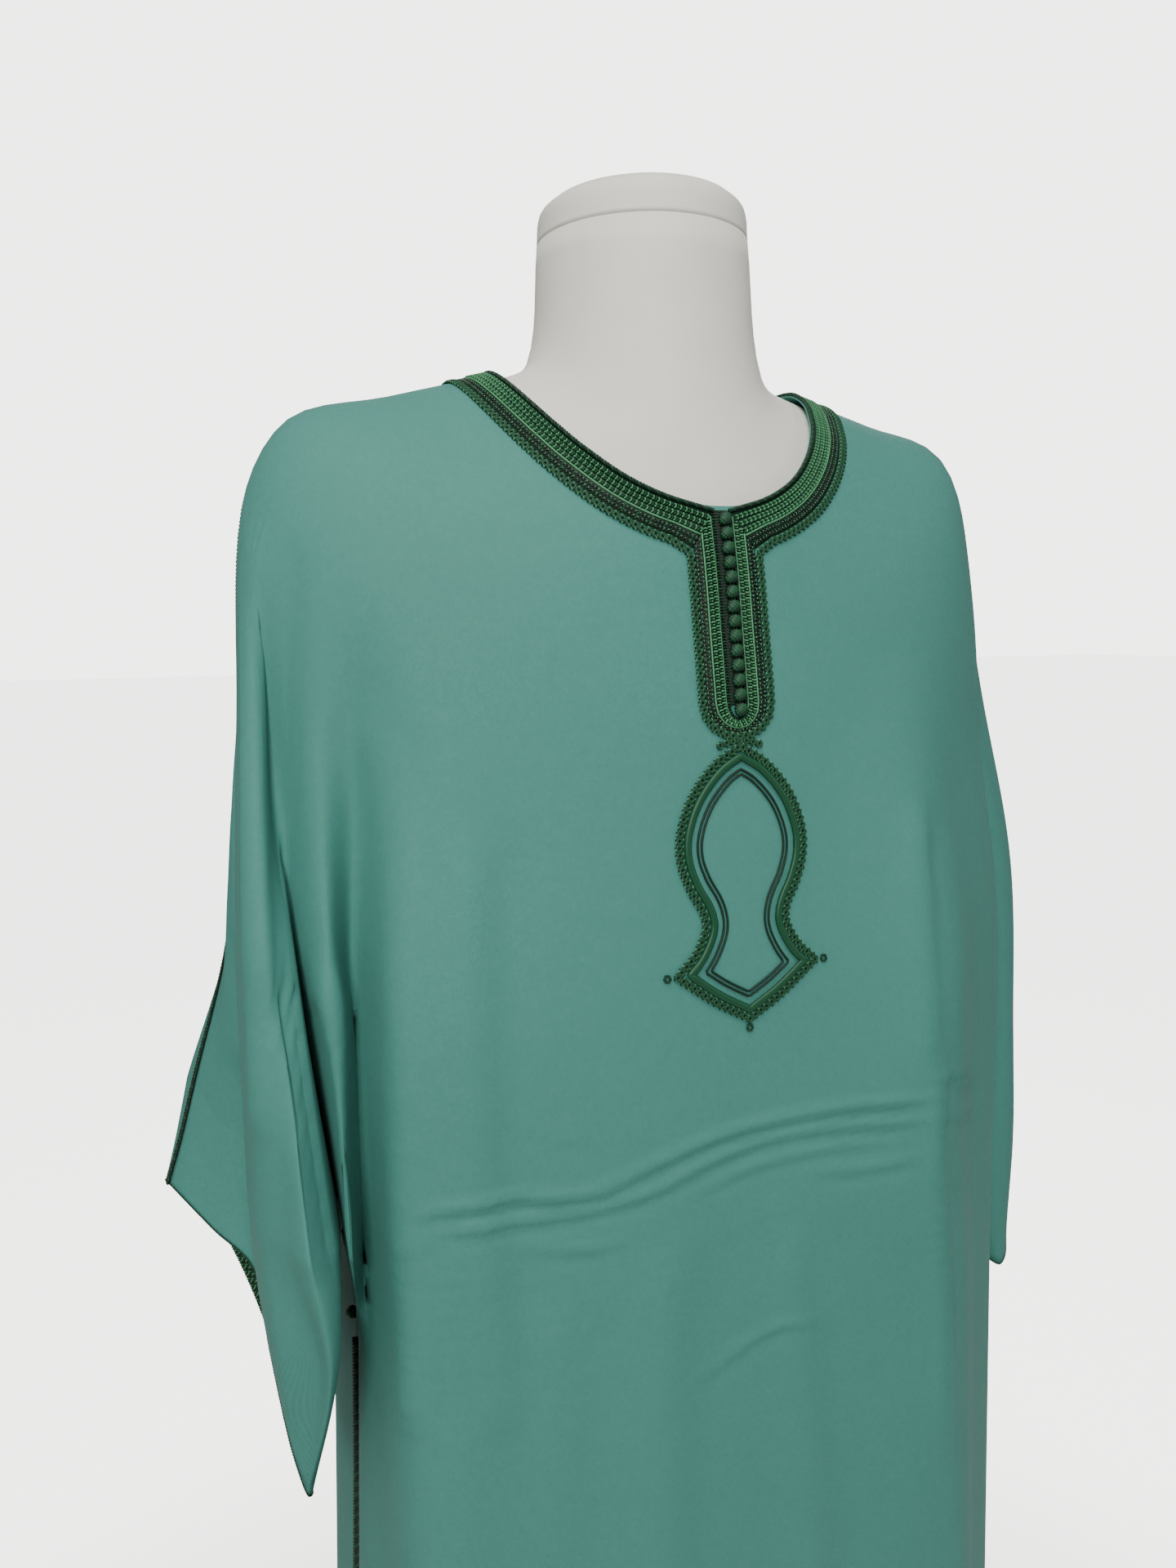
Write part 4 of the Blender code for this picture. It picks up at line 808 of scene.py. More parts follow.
def add_mesh(name, vertices, faces, looks, choice=None, flat=None):
    """Add a mesh, with a material for each face and flat lengths at the face corners."""
    mesh = bpy.data.meshes.new(name)
    mesh.from_pydata(np.asarray(vertices).tolist(), [], [list(map(int, face)) for face in faces])
    if flat is not None:
        layer = mesh.uv_layers.new(name="flat")
        layer.data.foreach_set("uv", np.asarray(flat, np.float32).ravel())
    for look in looks:
        mesh.materials.append(look)
    if choice is not None:
        mesh.polygons.foreach_set("material_index", np.asarray(choice, np.int32))
    mesh.shade_smooth()
    mesh.update()
    piece = bpy.data.objects.new(name, mesh)
    bpy.context.scene.collection.objects.link(piece)
    return piece


def ease(x):
    """Smooth rise from 0 to 1."""
    x = np.clip(x, 0, 1)
    return x * x * (3 - 2 * x)


def crease_lift(points):
    """How far each point of the front stands out for its creases and soft folds."""
    places = np.stack([points[:, 0], NECK_HEIGHT - points[:, 2]], axis=1)
    lift = np.zeros(len(points))
    for height, width, line in CREASES:
        line = np.array(line)
        curve = smooth_through(line, [CREASE_STEPS] * (len(line) - 1))
        run = np.concatenate([[0], np.cumsum(np.linalg.norm(np.diff(curve, axis=0), axis=1))])
        dense = np.linspace(0, run[-1], int(run[-1] / CREASE_STEP) + 2)
        spots = np.stack([np.interp(dense, run, axis) for axis in curve.T], axis=1)
        reach = CREASE_REACH * width
        low, high = spots.min(axis=0) - reach, spots.max(axis=0) + reach
        near = np.nonzero(((places > low) & (places < high)).all(axis=1))[0]
        apart = places[near, None] - spots[None]
        distance = np.linalg.norm(apart, axis=2)
        nearest = distance.argmin(axis=1)
        off = distance[range(len(near)), nearest]
        side = apart[range(len(near)), nearest] @ SHADED_SIDE
        past = np.maximum(off - abs(side) - width, 0)
        to_end = np.minimum(dense[nearest], run[-1] - dense[nearest])
        fade = ease(to_end / (CREASE_FADE + width))
        ridge = np.exp(-(off / width) ** 2)
        from_hollow = (off - HOLLOW_OFFSET * width) / (HOLLOW_WIDTH * width)
        hollow = np.exp(-from_hollow**2 - (past / width) ** 2)
        lift[near] += height * fade * (ridge - HOLLOW_SHARE * hollow * (side > 0))
    return lift


def add_panel(name, robe, look, creased):
    """Thin shell of one cut panel."""
    faces, outer = robe.panel(name)
    if creased:
        front = outer[:, 1] < CREASED_DEPTH
        facing = ease((-robe.normals[front, 1] - CREASED_FACING[0]) / CREASED_FACING[1])
        outer[front] += robe.normals[front] * (facing * crease_lift(outer[front]))[:, None]
    used = np.unique(faces)
    number = np.zeros(len(outer), int)
    number[used] = np.arange(len(used))
    outside = number[faces]
    count = len(used)
    lengths = np.array(robe.corner_lengths)[robe.panels == name]
    shell = outside.tolist() + (outside[:, ::-1] + count).tolist()
    flat = lengths.tolist() + lengths[:, ::-1].tolist()
    edges = {}
    for face, corner in zip(outside.tolist(), lengths.tolist()):
        for i in range(4):
            edges[face[i], face[(i + 1) % 4]] = (corner[i], corner[(i + 1) % 4])
    for (a, b), (start, stop) in edges.items():
        if (b, a) not in edges:
            shell.append((b, a, a + count, b + count))
            flat.append((stop, start, start, stop))
    vertices = np.concatenate([outer[used], outer[used] - SHELL * robe.normals[used]])
    piece = add_mesh(name + "_cloth", vertices, shell, [look], flat=flat)
    return piece, faces, outer


class Path:
    """Line of points on the cloth with the normals there."""

    def __init__(self, points, normals, closed=False):
        points, normals = np.asarray(points), np.asarray(normals)
        if closed:
            points, normals = np.vstack([points, points[:1]]), np.vstack([normals, normals[:1]])
        self.points, self.normals, self.closed = points, normals, closed
        steps = np.linalg.norm(np.diff(points, axis=0), axis=1)
        self.run = np.concatenate([[0], np.cumsum(steps)])
        self.length = self.run[-1]

    def at(self, distances):
        """Points, tangents, sideways directions and normals at distances along the line."""
        spots = np.stack([np.interp(distances, self.run, axis) for axis in self.points.T], axis=1)
        normals = unit(np.stack([np.interp(distances, self.run, axis)
                                 for axis in self.normals.T], axis=1))
        step = 0.0008
        ahead = np.stack([np.interp(distances + step, self.run, axis)
                          for axis in self.points.T], axis=1)
        behind = np.stack([np.interp(distances - step, self.run, axis)
                           for axis in self.points.T], axis=1)
        tangents = unit(ahead - behind)
        sides = unit(np.cross(normals, tangents))
        return spots, tangents, sides, normals

    def spaced(self, pitch, start=0.5):
        count = max(2, round(self.length / pitch))
        return (np.arange(count) + start) * self.length / count


def grain(sides, levels):
    """Small rounded grain, about 1 long, wide and high, that dips a little under z = 0."""
    places = np.linspace(-1, 1, levels + 2)[1:-1]
    vertices = [(-0.5, 0, 0.3)]
    for place in places:
        radius = math.sqrt(1 - place**2) / 2
        for turn in np.linspace(0, 2 * math.pi, sides, endpoint=False):
            vertices.append((place * 0.5, radius * math.cos(turn),
                             0.4 + radius * 1.2 * math.sin(turn)))
    vertices.append((0.5, 0, 0.3))
    last = len(vertices) - 1
    faces = []
    for j in range(sides):
        k = (j + 1) % sides
        faces.append((0, 1 + k, 1 + j))
        faces.append((last, last - sides + j, last - sides + k))
        for level in range(levels - 1):
            a, b = 1 + level * sides, 1 + (level + 1) * sides
            faces.append((a + j, a + k, b + k, b + j))
    return np.array(vertices), faces


GRAIN = grain(5, 2)
BEAD = grain(6, 3)
PICOT_LIFT = 0.0002        # of the looped edging over the cloth
PICOT_RING = 0.25          # middle line of a loop, as a share of its size
PICOT_TUBE = 0.15          # thread of a loop, as a share of its size
TUFTS = 8                  # round each loop
TUFT_REACH = 0.34          # shares of the size of the loop
TUFT_SIZE = (0.42, 0.13, 0.20)
TUFT_START = 20            # degrees round the loop
TUFT_SLANT = 55


class Trim:
    """Gathers grains, cords and bands, and adds them as one piece."""

    def __init__(self, looks):
        self.looks = looks
        self.vertices, self.faces, self.choice, self.flat = [], [], [], []
        self.count = 0

    def add(self, vertices, faces, look, flat=None):
        self.vertices.append(np.asarray(vertices))
        for face in faces:
            self.faces.append([i + self.count for i in face])
            self.choice.append(look)
            self.flat += [flat[i] for i in face] if flat is not None else [(0, 0)] * len(face)
        self.count += len(vertices)

    def grains(self, frames, size, look, slant=0.0, lift=0.0, aside=0.0, shape=GRAIN):
        """Grains of (length, width, height), turned by slant in degrees on the cloth."""
        spots, tangents, sides, normals = frames
        turn = np.radians(np.broadcast_to(slant, len(spots)))[:, None]
        long_way = tangents * np.cos(turn) + sides * np.sin(turn)
        wide_way = sides * np.cos(turn) - tangents * np.sin(turn)
        template, faces = shape
        base = spots + sides * aside + normals * lift
        placed = (base[:, None] + template[None, :, :1] * size[0] * long_way[:, None]
                  + template[None, :, 1:2] * size[1] * wide_way[:, None]
                  + template[None, :, 2:] * size[2] * normals[:, None])
        looks = np.broadcast_to(look, len(spots))
        for vertices, chosen in zip(placed, looks):
            self.add(vertices, faces, int(chosen))

    def cord(self, path, radius, look, lift=0.0, segments=8, step=0.0012, flatten=1.0):
        """Round cord along a path, resting at a lift over it."""
        count = max(3, round(path.length / step))
        distances = np.linspace(0, path.length, count + 1)
        if path.closed:
            distances = distances[:-1]
        spots, _, sides, normals = path.at(distances)
        middle = spots + normals * (lift + radius * flatten)
        turns = np.linspace(0, 2 * math.pi, segments, endpoint=False)
        rings = np.stack([middle + radius * (sides * math.cos(turn)
                                             + normals * flatten * math.sin(turn))
                          for turn in turns], axis=1)
        flat = [(distance, turn * radius) for distance in distances for turn in turns]
        self.rings(rings, look, path.closed, flat)

    def rings(self, rings, look, closed=False, flat=None):
        """Tube through rings of points, with its ends filled unless it is closed."""
        count, size = rings.shape[:2]
        faces = []
        for i in range(count if closed else count - 1):
            here, there = i * size, (i + 1) % count * size
            for j in range(size):
                k = (j + 1) % size
                faces.append((here + j, here + k, there + k, there + j))
        if not closed:
            faces.append(tuple(range(size))[::-1])
            faces.append(tuple((count - 1) * size + j for j in range(size)))
        self.add(rings.reshape(-1, 3), faces, look, flat)

    def band(self, inner, outer, look, lift, thick=0.0006, step=0.002):
        """Flat strip between two paths, thin and closed."""
        count = max(3, round(max(inner.length, outer.length) / step))
        share = np.linspace(0, 1, count + 1)
        a, _, _, a_up = inner.at(share * inner.length)
        b, _, _, b_up = outer.at(share * outer.length)
        rings = np.stack([a + a_up * lift, b + b_up * lift,
                          b + b_up * (lift + thick), a + a_up * (lift + thick)], axis=1)
        self.rings(rings, look)

    def picot(self, path, pitch, size, looks):
        """Row of small curled loops of thread with a tuft round each."""
        frames = path.at(path.spaced(pitch))
        turns = np.linspace(0, 2 * math.pi, 10, endpoint=False)
        round_it = np.linspace(0, 2 * math.pi, 5, endpoint=False)
        ring, tube = size * PICOT_RING, size * PICOT_TUBE
        for spot, tangent, side, normal in zip(*frames):
            rings = []
            for turn in turns:
                out = tangent * math.cos(turn) + side * math.sin(turn)
                middle = spot + out * ring + normal * (PICOT_LIFT + tube)
                rings.append([middle + tube * (out * math.cos(t) + normal * math.sin(t))
                              for t in round_it])
            self.rings(np.array(rings), looks[0], closed=True)
        spots, tangents, sides, normals = frames
        for petal in range(TUFTS):
            turn = petal * 360 / TUFTS + TUFT_START
            out = math.radians(turn)
            base = (spots + tangents * size * TUFT_REACH * math.cos(out)
                    + sides * size * TUFT_REACH * math.sin(out))
            self.grains((base, tangents, sides, normals), [size * share for share in TUFT_SIZE],
                        looks[petal % len(looks)], slant=turn + TUFT_SLANT,
                        lift=PICOT_LIFT + size * 0.08)
        self.grains(frames, (size * 0.22, size * 0.22, size * 0.18), looks[1], lift=PICOT_LIFT,
                    shape=BEAD)

    def piece(self, name, material_slot, *nodes):
        made = add_mesh(name, np.concatenate(self.vertices), self.faces, self.looks, self.choice,
                        self.flat)
        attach(made, "root")
        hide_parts(*nodes)
        return made


def pressed_path(chest, line, closed=False):
    """Path on the chest along a line of (x, drop)."""
    line = np.asarray(line)
    spots, ups = [], []
    for x, drop in line:
        place = chest.press(x, drop, 0.0)
        spots.append(place)
        ups.append(unit(chest.press(x, drop, 0.001) - place))
    return Path(spots, ups, closed)


def placket_path(chest, out):
    line = np.array(placket_line(out))
    fine = [line[0]]
    for a, b in zip(line[:-1], line[1:]):
        for share in (0.25, 0.5, 0.75, 1.0):
            fine.append(a + (b - a) * share)
    return pressed_path(chest, fine)


def neck_path(chest, columns, robe, distance):
    """Path round the neck at a distance from its edge, mitred at the notch."""
    rests = [at_distance(robe, numbers, distance) for numbers in columns]
    spots, ups = [rest[0] for rest in rests], [rest[1] for rest in rests]
    for sign, where in ((-1, 0), (1, len(spots) + 1)):
        x, drop = sign * (SLIT_HALF + distance / MITRE), PLACKET_TOP + distance
        place = chest.press(x, drop, 0.0)
        spots.insert(where, place)
        ups.insert(where, unit(chest.press(x, drop, 0.001) - place))
    return Path(spots, ups)


DARK_THREAD, MID_THREAD, LIGHT_THREAD, SATIN, PALE_THREAD = range(5)
# Loops and tufts of the edging take these in turn; the light ones are partly lighter thread and partly
# painted highlight on the curls.
PICOT_THREADS_AND_HIGHLIGHTS = (MID_THREAD, DARK_THREAD, LIGHT_THREAD, MID_THREAD, DARK_THREAD, MID_THREAD,
                 LIGHT_THREAD)
BASE = 0.0004              # thickness of the strip that the stitches lie on
BASE_LIFT = 0.0001
PICOT_PITCH = 0.0037
PICOT_SIZE = 0.0056

# Rows of the neck braid and of one placket band, by their distance from the edge
NECK_EDGE_ROPE = 0.0007
NECK_LIGHT_ROWS = (0.0044, 0.0077, 0.0110)
NECK_RIB = 0.0130
NECK_DARK_ROWS = (0.0151, 0.0178)
PLACKET_EDGE_ROW = 0.0010
PLACKET_RIBS = ((0.0023, 0.00035), (0.0082, 0.00045))    # with their radii
PLACKET_LIGHT_ROWS = (0.0038, 0.0063)
PLACKET_DARK_ROWS = (0.0099, 0.0123)
STRIP_ROWS = (-0.0024, 0.0, 0.0024)    # from the middle of the button strip
CUFF_ROWS = (0.0022, 0.0050, 0.0078, 0.0106)    # from the end of the sleeve

# Kinds of stitch row, as wheat takes them
# The light rows alternate light and green thread: partly the braid's lighter thread, partly a painted
# highlight on the ribs.
NECK_LIGHT_AND_HIGHLIGHT = {"width": 0.0027, "looks": (LIGHT_THREAD, MID_THREAD), "height": 0.0018}
NECK_DARK = {"width": 0.0026, "looks": (DARK_THREAD, MID_THREAD, DARK_THREAD, DARK_THREAD),
             "pitch": 0.0019, "slant": 34, "height": 0.0009}
PLACKET_EDGE = {"width": 0.0021, "looks": (DARK_THREAD, DARK_THREAD, MID_THREAD),
                "slant": 40, "height": 0.0011}
# Partly lighter thread, partly a painted highlight on the placket ribs.
PLACKET_LIGHT_AND_HIGHLIGHT = {"width": 0.0023, "looks": (LIGHT_THREAD, MID_THREAD), "height": 0.0018}
PLACKET_DARK = {"width": 0.0024, "looks": (DARK_THREAD, DARK_THREAD, MID_THREAD),
                "pitch": 0.0018, "slant": 34, "height": 0.0009}
STRIP_ROW = {"width": 0.0022, "looks": (DARK_THREAD,), "height": 0.0006}
OVERARM_ROW = {"width": OVERARM_WIDTH, "looks": (DARK_THREAD, MID_THREAD, DARK_THREAD),
               "lift": 0.0009, "pitch": 0.0021, "slant": 36, "height": 0.0008}
CUFF_ROW = {"width": 0.0026, "looks": (DARK_THREAD, MID_THREAD, LIGHT_THREAD),
            "lift": 0.0003, "pitch": 0.0016, "height": 0.0009}

# Kinds of rope, thin cord and bead row, as rope, cord and bumps take them
NECK_ROPE = {"radius": 0.00125, "looks": (DARK_THREAD, MID_THREAD, DARK_THREAD), "pitch": 0.0052}
SEAM_ROPE = {"radius": 0.0012, "looks": (DARK_THREAD, MID_THREAD), "strands": 2, "pitch": 0.004}
LOWER_SEAM_ROPE = {**SEAM_ROPE, "radius": 0.0014}
KNOT_ROPE = {**SEAM_ROPE, "radius": 0.0008, "pitch": 0.0034}
CUFF_ROPE = {**SEAM_ROPE, "radius": 0.0006, "lift": -0.0006, "pitch": 0.003}
SLIT_ROPE = {"radius": 0.0021, "looks": (DARK_THREAD, MID_THREAD, DARK_THREAD),
             "lift": 0.0001, "pitch": 0.0064}
RIB = {"look": LIGHT_THREAD, "lift": 0.0004, "segments": 6}
FLECKS = {"size": (0.0012, 0.0004, 0.0004), "look": PALE_THREAD, "pitch": 0.0024}
# Light beads on the crests of the light rows: partly lighter thread, partly a painted highlight along the
# rib tops.
LIGHT_AND_HIGHLIGHT_BEADS = {"size": (0.0010, 0.0008, 0.0006), "look": LIGHT_THREAD, "lift": 0.0016,
               "pitch": 0.0015}
SIDE_STITCH = (0.0042, 0.0006, 0.0004)
SIDE_LEANS = (40, -40)     # degrees, in turn, of the pale stitches beside the side cord

ROPE_STEPS = 8             # spots along one twist of a rope
STRAND_SIDES = 6
STRAND_RADIUS = 0.56       # share of the rope's radius
STRAND_REACH = 0.46        # place of a strand out from the middle, as a share of it
STITCH_LENGTH = 0.84       # share of the width of the row
STITCH_WIDTH = 0.60        # share of the pitch
STITCH_ASIDE = 0.24        # place out from the middle of the row, as a share of its width


def rope(trim, path, radius, looks, lift=0.0, strands=3, pitch=0.006):
    """Cord laid from twisted strands."""
    count = max(4, round(path.length / pitch * ROPE_STEPS))
    distances = np.linspace(0, path.length, count + 1)
    spots, _, sides, normals = path.at(distances)
    middle = spots + normals * (lift + radius)
    strand_radius = radius * STRAND_RADIUS
    turns = np.linspace(0, 2 * math.pi, STRAND_SIDES, endpoint=False)
    for strand in range(strands):
        phase = 2 * math.pi * (distances / pitch + strand / strands)
        out = sides * np.cos(phase)[:, None] + normals * np.sin(phase)[:, None]
        centre = middle + out * radius * STRAND_REACH
        rings = np.stack([centre + strand_radius * (sides * math.cos(turn) + normals * math.sin(turn))
                          for turn in turns], axis=1)
        trim.rings(rings, looks[strand % len(looks)])


def wheat(trim, path, width, looks, lift=BASE, pitch=0.0015, slant=50, height=0.0013):
    """Two rows of slanted stitches that meet in a V along a path."""
    frames = path.at(path.spaced(pitch))
    chosen = np.resize(looks, len(frames[0]))
    for side in (-1, 1):
        trim.grains(frames, (width * STITCH_LENGTH, pitch * STITCH_WIDTH, height), chosen,
                    slant=side * slant, lift=lift, aside=side * width * STITCH_ASIDE)


def bumps(trim, path, size, look, lift, pitch):
    trim.grains(path.at(path.spaced(pitch)), size, look, lift=lift, shape=BEAD)


def neck_trims(robe, chest, looks):
    ring = robe.rings["upper"]
    columns = [column(robe, place, step, ["upper"]) for place in ring for step in range(FOLD_STEPS)]
    columns = columns[FOLD_STEPS:len(columns) - FOLD_STEPS + 1]

    def path(distance):
        return neck_path(chest, columns, robe, distance)

    trim = Trim(looks)
    trim.band(path(GAP), path(BRAID_WIDTH), DARK_THREAD, BASE_LIFT, BASE)
    rope(trim, path(NECK_EDGE_ROPE), **NECK_ROPE)
    for distance in NECK_LIGHT_ROWS:
        wheat(trim, path(distance), **NECK_LIGHT_AND_HIGHLIGHT)
    trim.cord(path(NECK_RIB), 0.0005, step=0.003, **RIB)
    for distance in NECK_DARK_ROWS:
        wheat(trim, path(distance), **NECK_DARK)
        bumps(trim, path(distance), lift=0.0010, **FLECKS)
    trim.piece("neck_braid_stitches", "braid", "neck_braid")
    edge = Trim(looks)
    middle = BRAID_WIDTH + 2 * GAP + PICOT_WIDTH / 2
    edge.picot(path(middle), PICOT_PITCH, PICOT_SIZE, PICOT_THREADS_AND_HIGHLIGHTS)
    edge.piece("neck_picot_loops", "braid", "neck_picot")


def placket_trims(chest, looks):
    def path(out):
        return placket_path(chest, out)

    trim = Trim(looks)
    trim.band(path(SLIT_HALF), path(SLIT_HALF + PLACKET_WIDTH), DARK_THREAD, BASE_LIFT, BASE)
    wheat(trim, path(SLIT_HALF + PLACKET_EDGE_ROW), **PLACKET_EDGE)
    for out, radius in PLACKET_RIBS:
        trim.cord(path(SLIT_HALF + out), radius, step=0.002, **RIB)
    for out in PLACKET_LIGHT_ROWS:
        wheat(trim, path(SLIT_HALF + out), **PLACKET_LIGHT_AND_HIGHLIGHT)
        bumps(trim, path(SLIT_HALF + out), **LIGHT_AND_HIGHLIGHT_BEADS)
    for out in PLACKET_DARK_ROWS:
        wheat(trim, path(SLIT_HALF + out), **PLACKET_DARK)
        bumps(trim, path(SLIT_HALF + out), lift=0.0009, **FLECKS)
    trim.piece("placket_braid_stitches", "braid", "placket_braid")
    edge = Trim(looks)
    edge.picot(path(SLIT_HALF + PLACKET_WIDTH + GAP + PICOT_WIDTH / 2), PICOT_PITCH, PICOT_SIZE,
               PICOT_THREADS_AND_HIGHLIGHTS)
    edge.piece("placket_picot_loops", "braid", "placket_picot")
    strip = Trim(looks)
    drops = np.linspace(PLACKET_TOP + GAP, PLACKET_SIDE + SLIT_HALF / 3, 30)
    sides = [pressed_path(chest, [(x, drop) for drop in drops])
             for x in (-SLIT_HALF + GAP, SLIT_HALF - GAP)]
    strip.band(*sides, DARK_THREAD, 0.0002, 0.0003)
    for x in STRIP_ROWS:
        wheat(strip, pressed_path(chest, [(x, drop) for drop in drops]), **STRIP_ROW)
    strip.piece("button_strip", "braid", "placket_strip")


BALL_STEPS = 10            # along each edge of a face
BALL_LEAN = 45             # turn of the windings in degrees
WINDINGS = 3               # half waves over half a face
WINDING_HEIGHT = 0.09      # shares of the radius
EDGE_DIP = 0.12
BUTTON_FACING = (-0.25, -1, 0.25)


def knotted_ball(trim, centre, radius, depth, looks, facing):
    """Ball whose six faces are wound with thread in alternate directions."""
    size = BALL_STEPS
    places = np.linspace(-1, 1, size + 1)
    u, v = np.meshgrid(places, places, indexing="ij")
    front = unit(np.array(facing, float))
    side = unit(np.cross((0, 0, 1), front))
    axes = np.stack([side, np.cross(front, side), front])
    lean = math.radians(BALL_LEAN)
    turned = np.array([[math.cos(lean), math.sin(lean), 0], [-math.sin(lean), math.cos(lean), 0],
                       [0, 0, 1]]) @ axes
    for number in range(6):
        axis, sign = number // 2, 1 - 2 * (number % 2)
        spots = np.zeros((size + 1, size + 1, 3))
        spots[..., axis] = sign
        spots[..., (axis + 1) % 3] = u
        spots[..., (axis + 2) % 3] = v * sign
        across = u if axis != 1 else v
        edge = np.maximum(np.abs(u), np.abs(v))
        wound = WINDING_HEIGHT * np.cos(across * math.pi * WINDINGS) * (1 - edge**6)
        wound -= EDGE_DIP * edge**6
        ball = unit(spots) * (radius * (1 + wound))[..., None]
        ball[..., 2] *= depth
        vertices = centre + ball @ turned
        faces = []
        for i in range(size):
            for j in range(size):
                a = i * (size + 1) + j
                faces.append((a, a + size + 1, a + size + 2, a + 1))
        trim.add(vertices.reshape(-1, 3), faces, looks[axis])


def add_knotted_buttons(chest, looks):
    for i in range(BUTTON_COUNT):
        drop = BUTTON_FIRST + BUTTON_SIZE / 2 + i * BUTTON_PITCH
        seat = chest.press(0, drop, TRIM_LIFT + STRIP_HEIGHT + GAP)
        trim = Trim(looks)
        centre = seat - np.array([0, BUTTON_SIZE * BUTTON_SEAT, 0])
        knotted_ball(trim, centre, BUTTON_SIZE / 2, BUTTON_DEPTH,
                     (MID_THREAD, DARK_THREAD, MID_THREAD), BUTTON_FACING)
        trim.piece(f"knot_button_{i + 1:02d}", "braid", f"button_{i + 1:02d}")


LINE_SHIFTS = (-0.0004, 0.0018)    # of the two lines in the motif from their inset
LINE_RADIUS = 0.00068
CORD_FLATTENING = 0.72
KNOT_LOOP = 0.66           # middle line of a corner loop, as a share of its radius
JOINING_PITCH = 0.0036
JOINING_SIZE = 0.0050
# Loops where the foot of the placket meets the head of the motif, as (x, drop)
JOINING_LOOPS = ((-0.0130, 0.2080), (-0.0078, 0.2062), (-0.0030, 0.2054), (0.0030, 0.2054),
                 (0.0078, 0.2062), (0.0130, 0.2080))


def motif_path(chest, grow):
    line = motif_outline(grow)
    if grow:
        line = line[clear_of_outline(grow)]
    return pressed_path(chest, line, closed=True)


def motif_trims(chest, looks):
    cord = Trim(looks)
    cord.cord(motif_path(chest, 0.0), CORD_WIDTH / 2, SATIN, segments=16, step=0.001,
              flatten=CORD_FLATTENING)
    cord.piece("motif_satin_cord", "braid", "motif_cord")
    line = Trim(looks)
    for shift in LINE_SHIFTS:
        line.cord(motif_path(chest, shift - LINE_INSET), LINE_RADIUS, DARK_THREAD, segments=6,
                  step=0.0016)
    line.piece("motif_double_line", "braid", "motif_line")
    edge = Trim(looks)
    reach = CORD_WIDTH / 2 + GAP + PICOT_WIDTH / 2
    edge.picot(motif_path(chest, reach + GAP), PICOT_PITCH, PICOT_SIZE, PICOT_THREADS_AND_HIGHLIGHTS)
    join = pressed_path(chest, JOINING_LOOPS)
    edge.picot(join, JOINING_PITCH, JOINING_SIZE, PICOT_THREADS_AND_HIGHLIGHTS)
    edge.piece("motif_picot_loops", "braid", "motif_picot")
    tips = motif_outline(CORD_WIDTH / 2 + GAP + PICOT_WIDTH)
    for word, corner in KNOTTED_CORNERS.items():
        tip = tips[corner * MOTIF_STEPS]
        away = unit(tip - motif_outline(0)[corner * MOTIF_STEPS])
        centre = tip + away * (KNOT_RADIUS + 2 * GAP)
        turns = np.linspace(0, 2 * math.pi, 24, endpoint=False)
        ring = KNOT_RADIUS * KNOT_LOOP * np.stack([np.cos(turns), np.sin(turns)], axis=1)
        loop = pressed_path(chest, centre + ring, closed=True)
        knot = Trim(looks)
        rope(knot, loop, **KNOT_ROPE)
        knot.piece("motif_loop_" + word, "braid", "motif_knot_" + word)


def fine_row(level):
    """Row of the fine body grid at a level counted in its coarse steps."""
    return round(np.interp(level, COARSE_BODY, (0, BODY_STEPS[0], sum(BODY_STEPS))))


def overarm_cord(robe, word, arm, looks):
    sleeve = word + "_sleeve"
    place = next(place for place in robe.rings["upper"] if place[0] == arm)
    numbers = column(robe, place, 0, ["upper", sleeve])
    points = robe.points[numbers]
    run = np.concatenate([[0], np.cumsum(np.linalg.norm(np.diff(points, axis=0), axis=1))])
    keep = run > BRAID_WIDTH + PICOT_WIDTH + OVERARM_CLEARANCE
    path = Path(points[keep], robe.normals[numbers][keep])
    trim = Trim(looks)
    trim.cord(path, OVERARM_WIDTH / 2, DARK_THREAD, lift=0.0002, segments=8, step=0.005,
              flatten=OVERARM_FLATTENING)
    wheat(trim, path, **OVERARM_ROW)
    trim.piece("overarm_plait_" + word, "braid", "overarm_cord_" + word)


def seam_path(robe, word, start, stop, radius):
    rests = [beside_seam(robe, word, row, radius) for row in range(start, stop + 1)]
    points = [point - normal * radius for point, normal in rests]
    return Path(points, [normal for _, normal in rests])


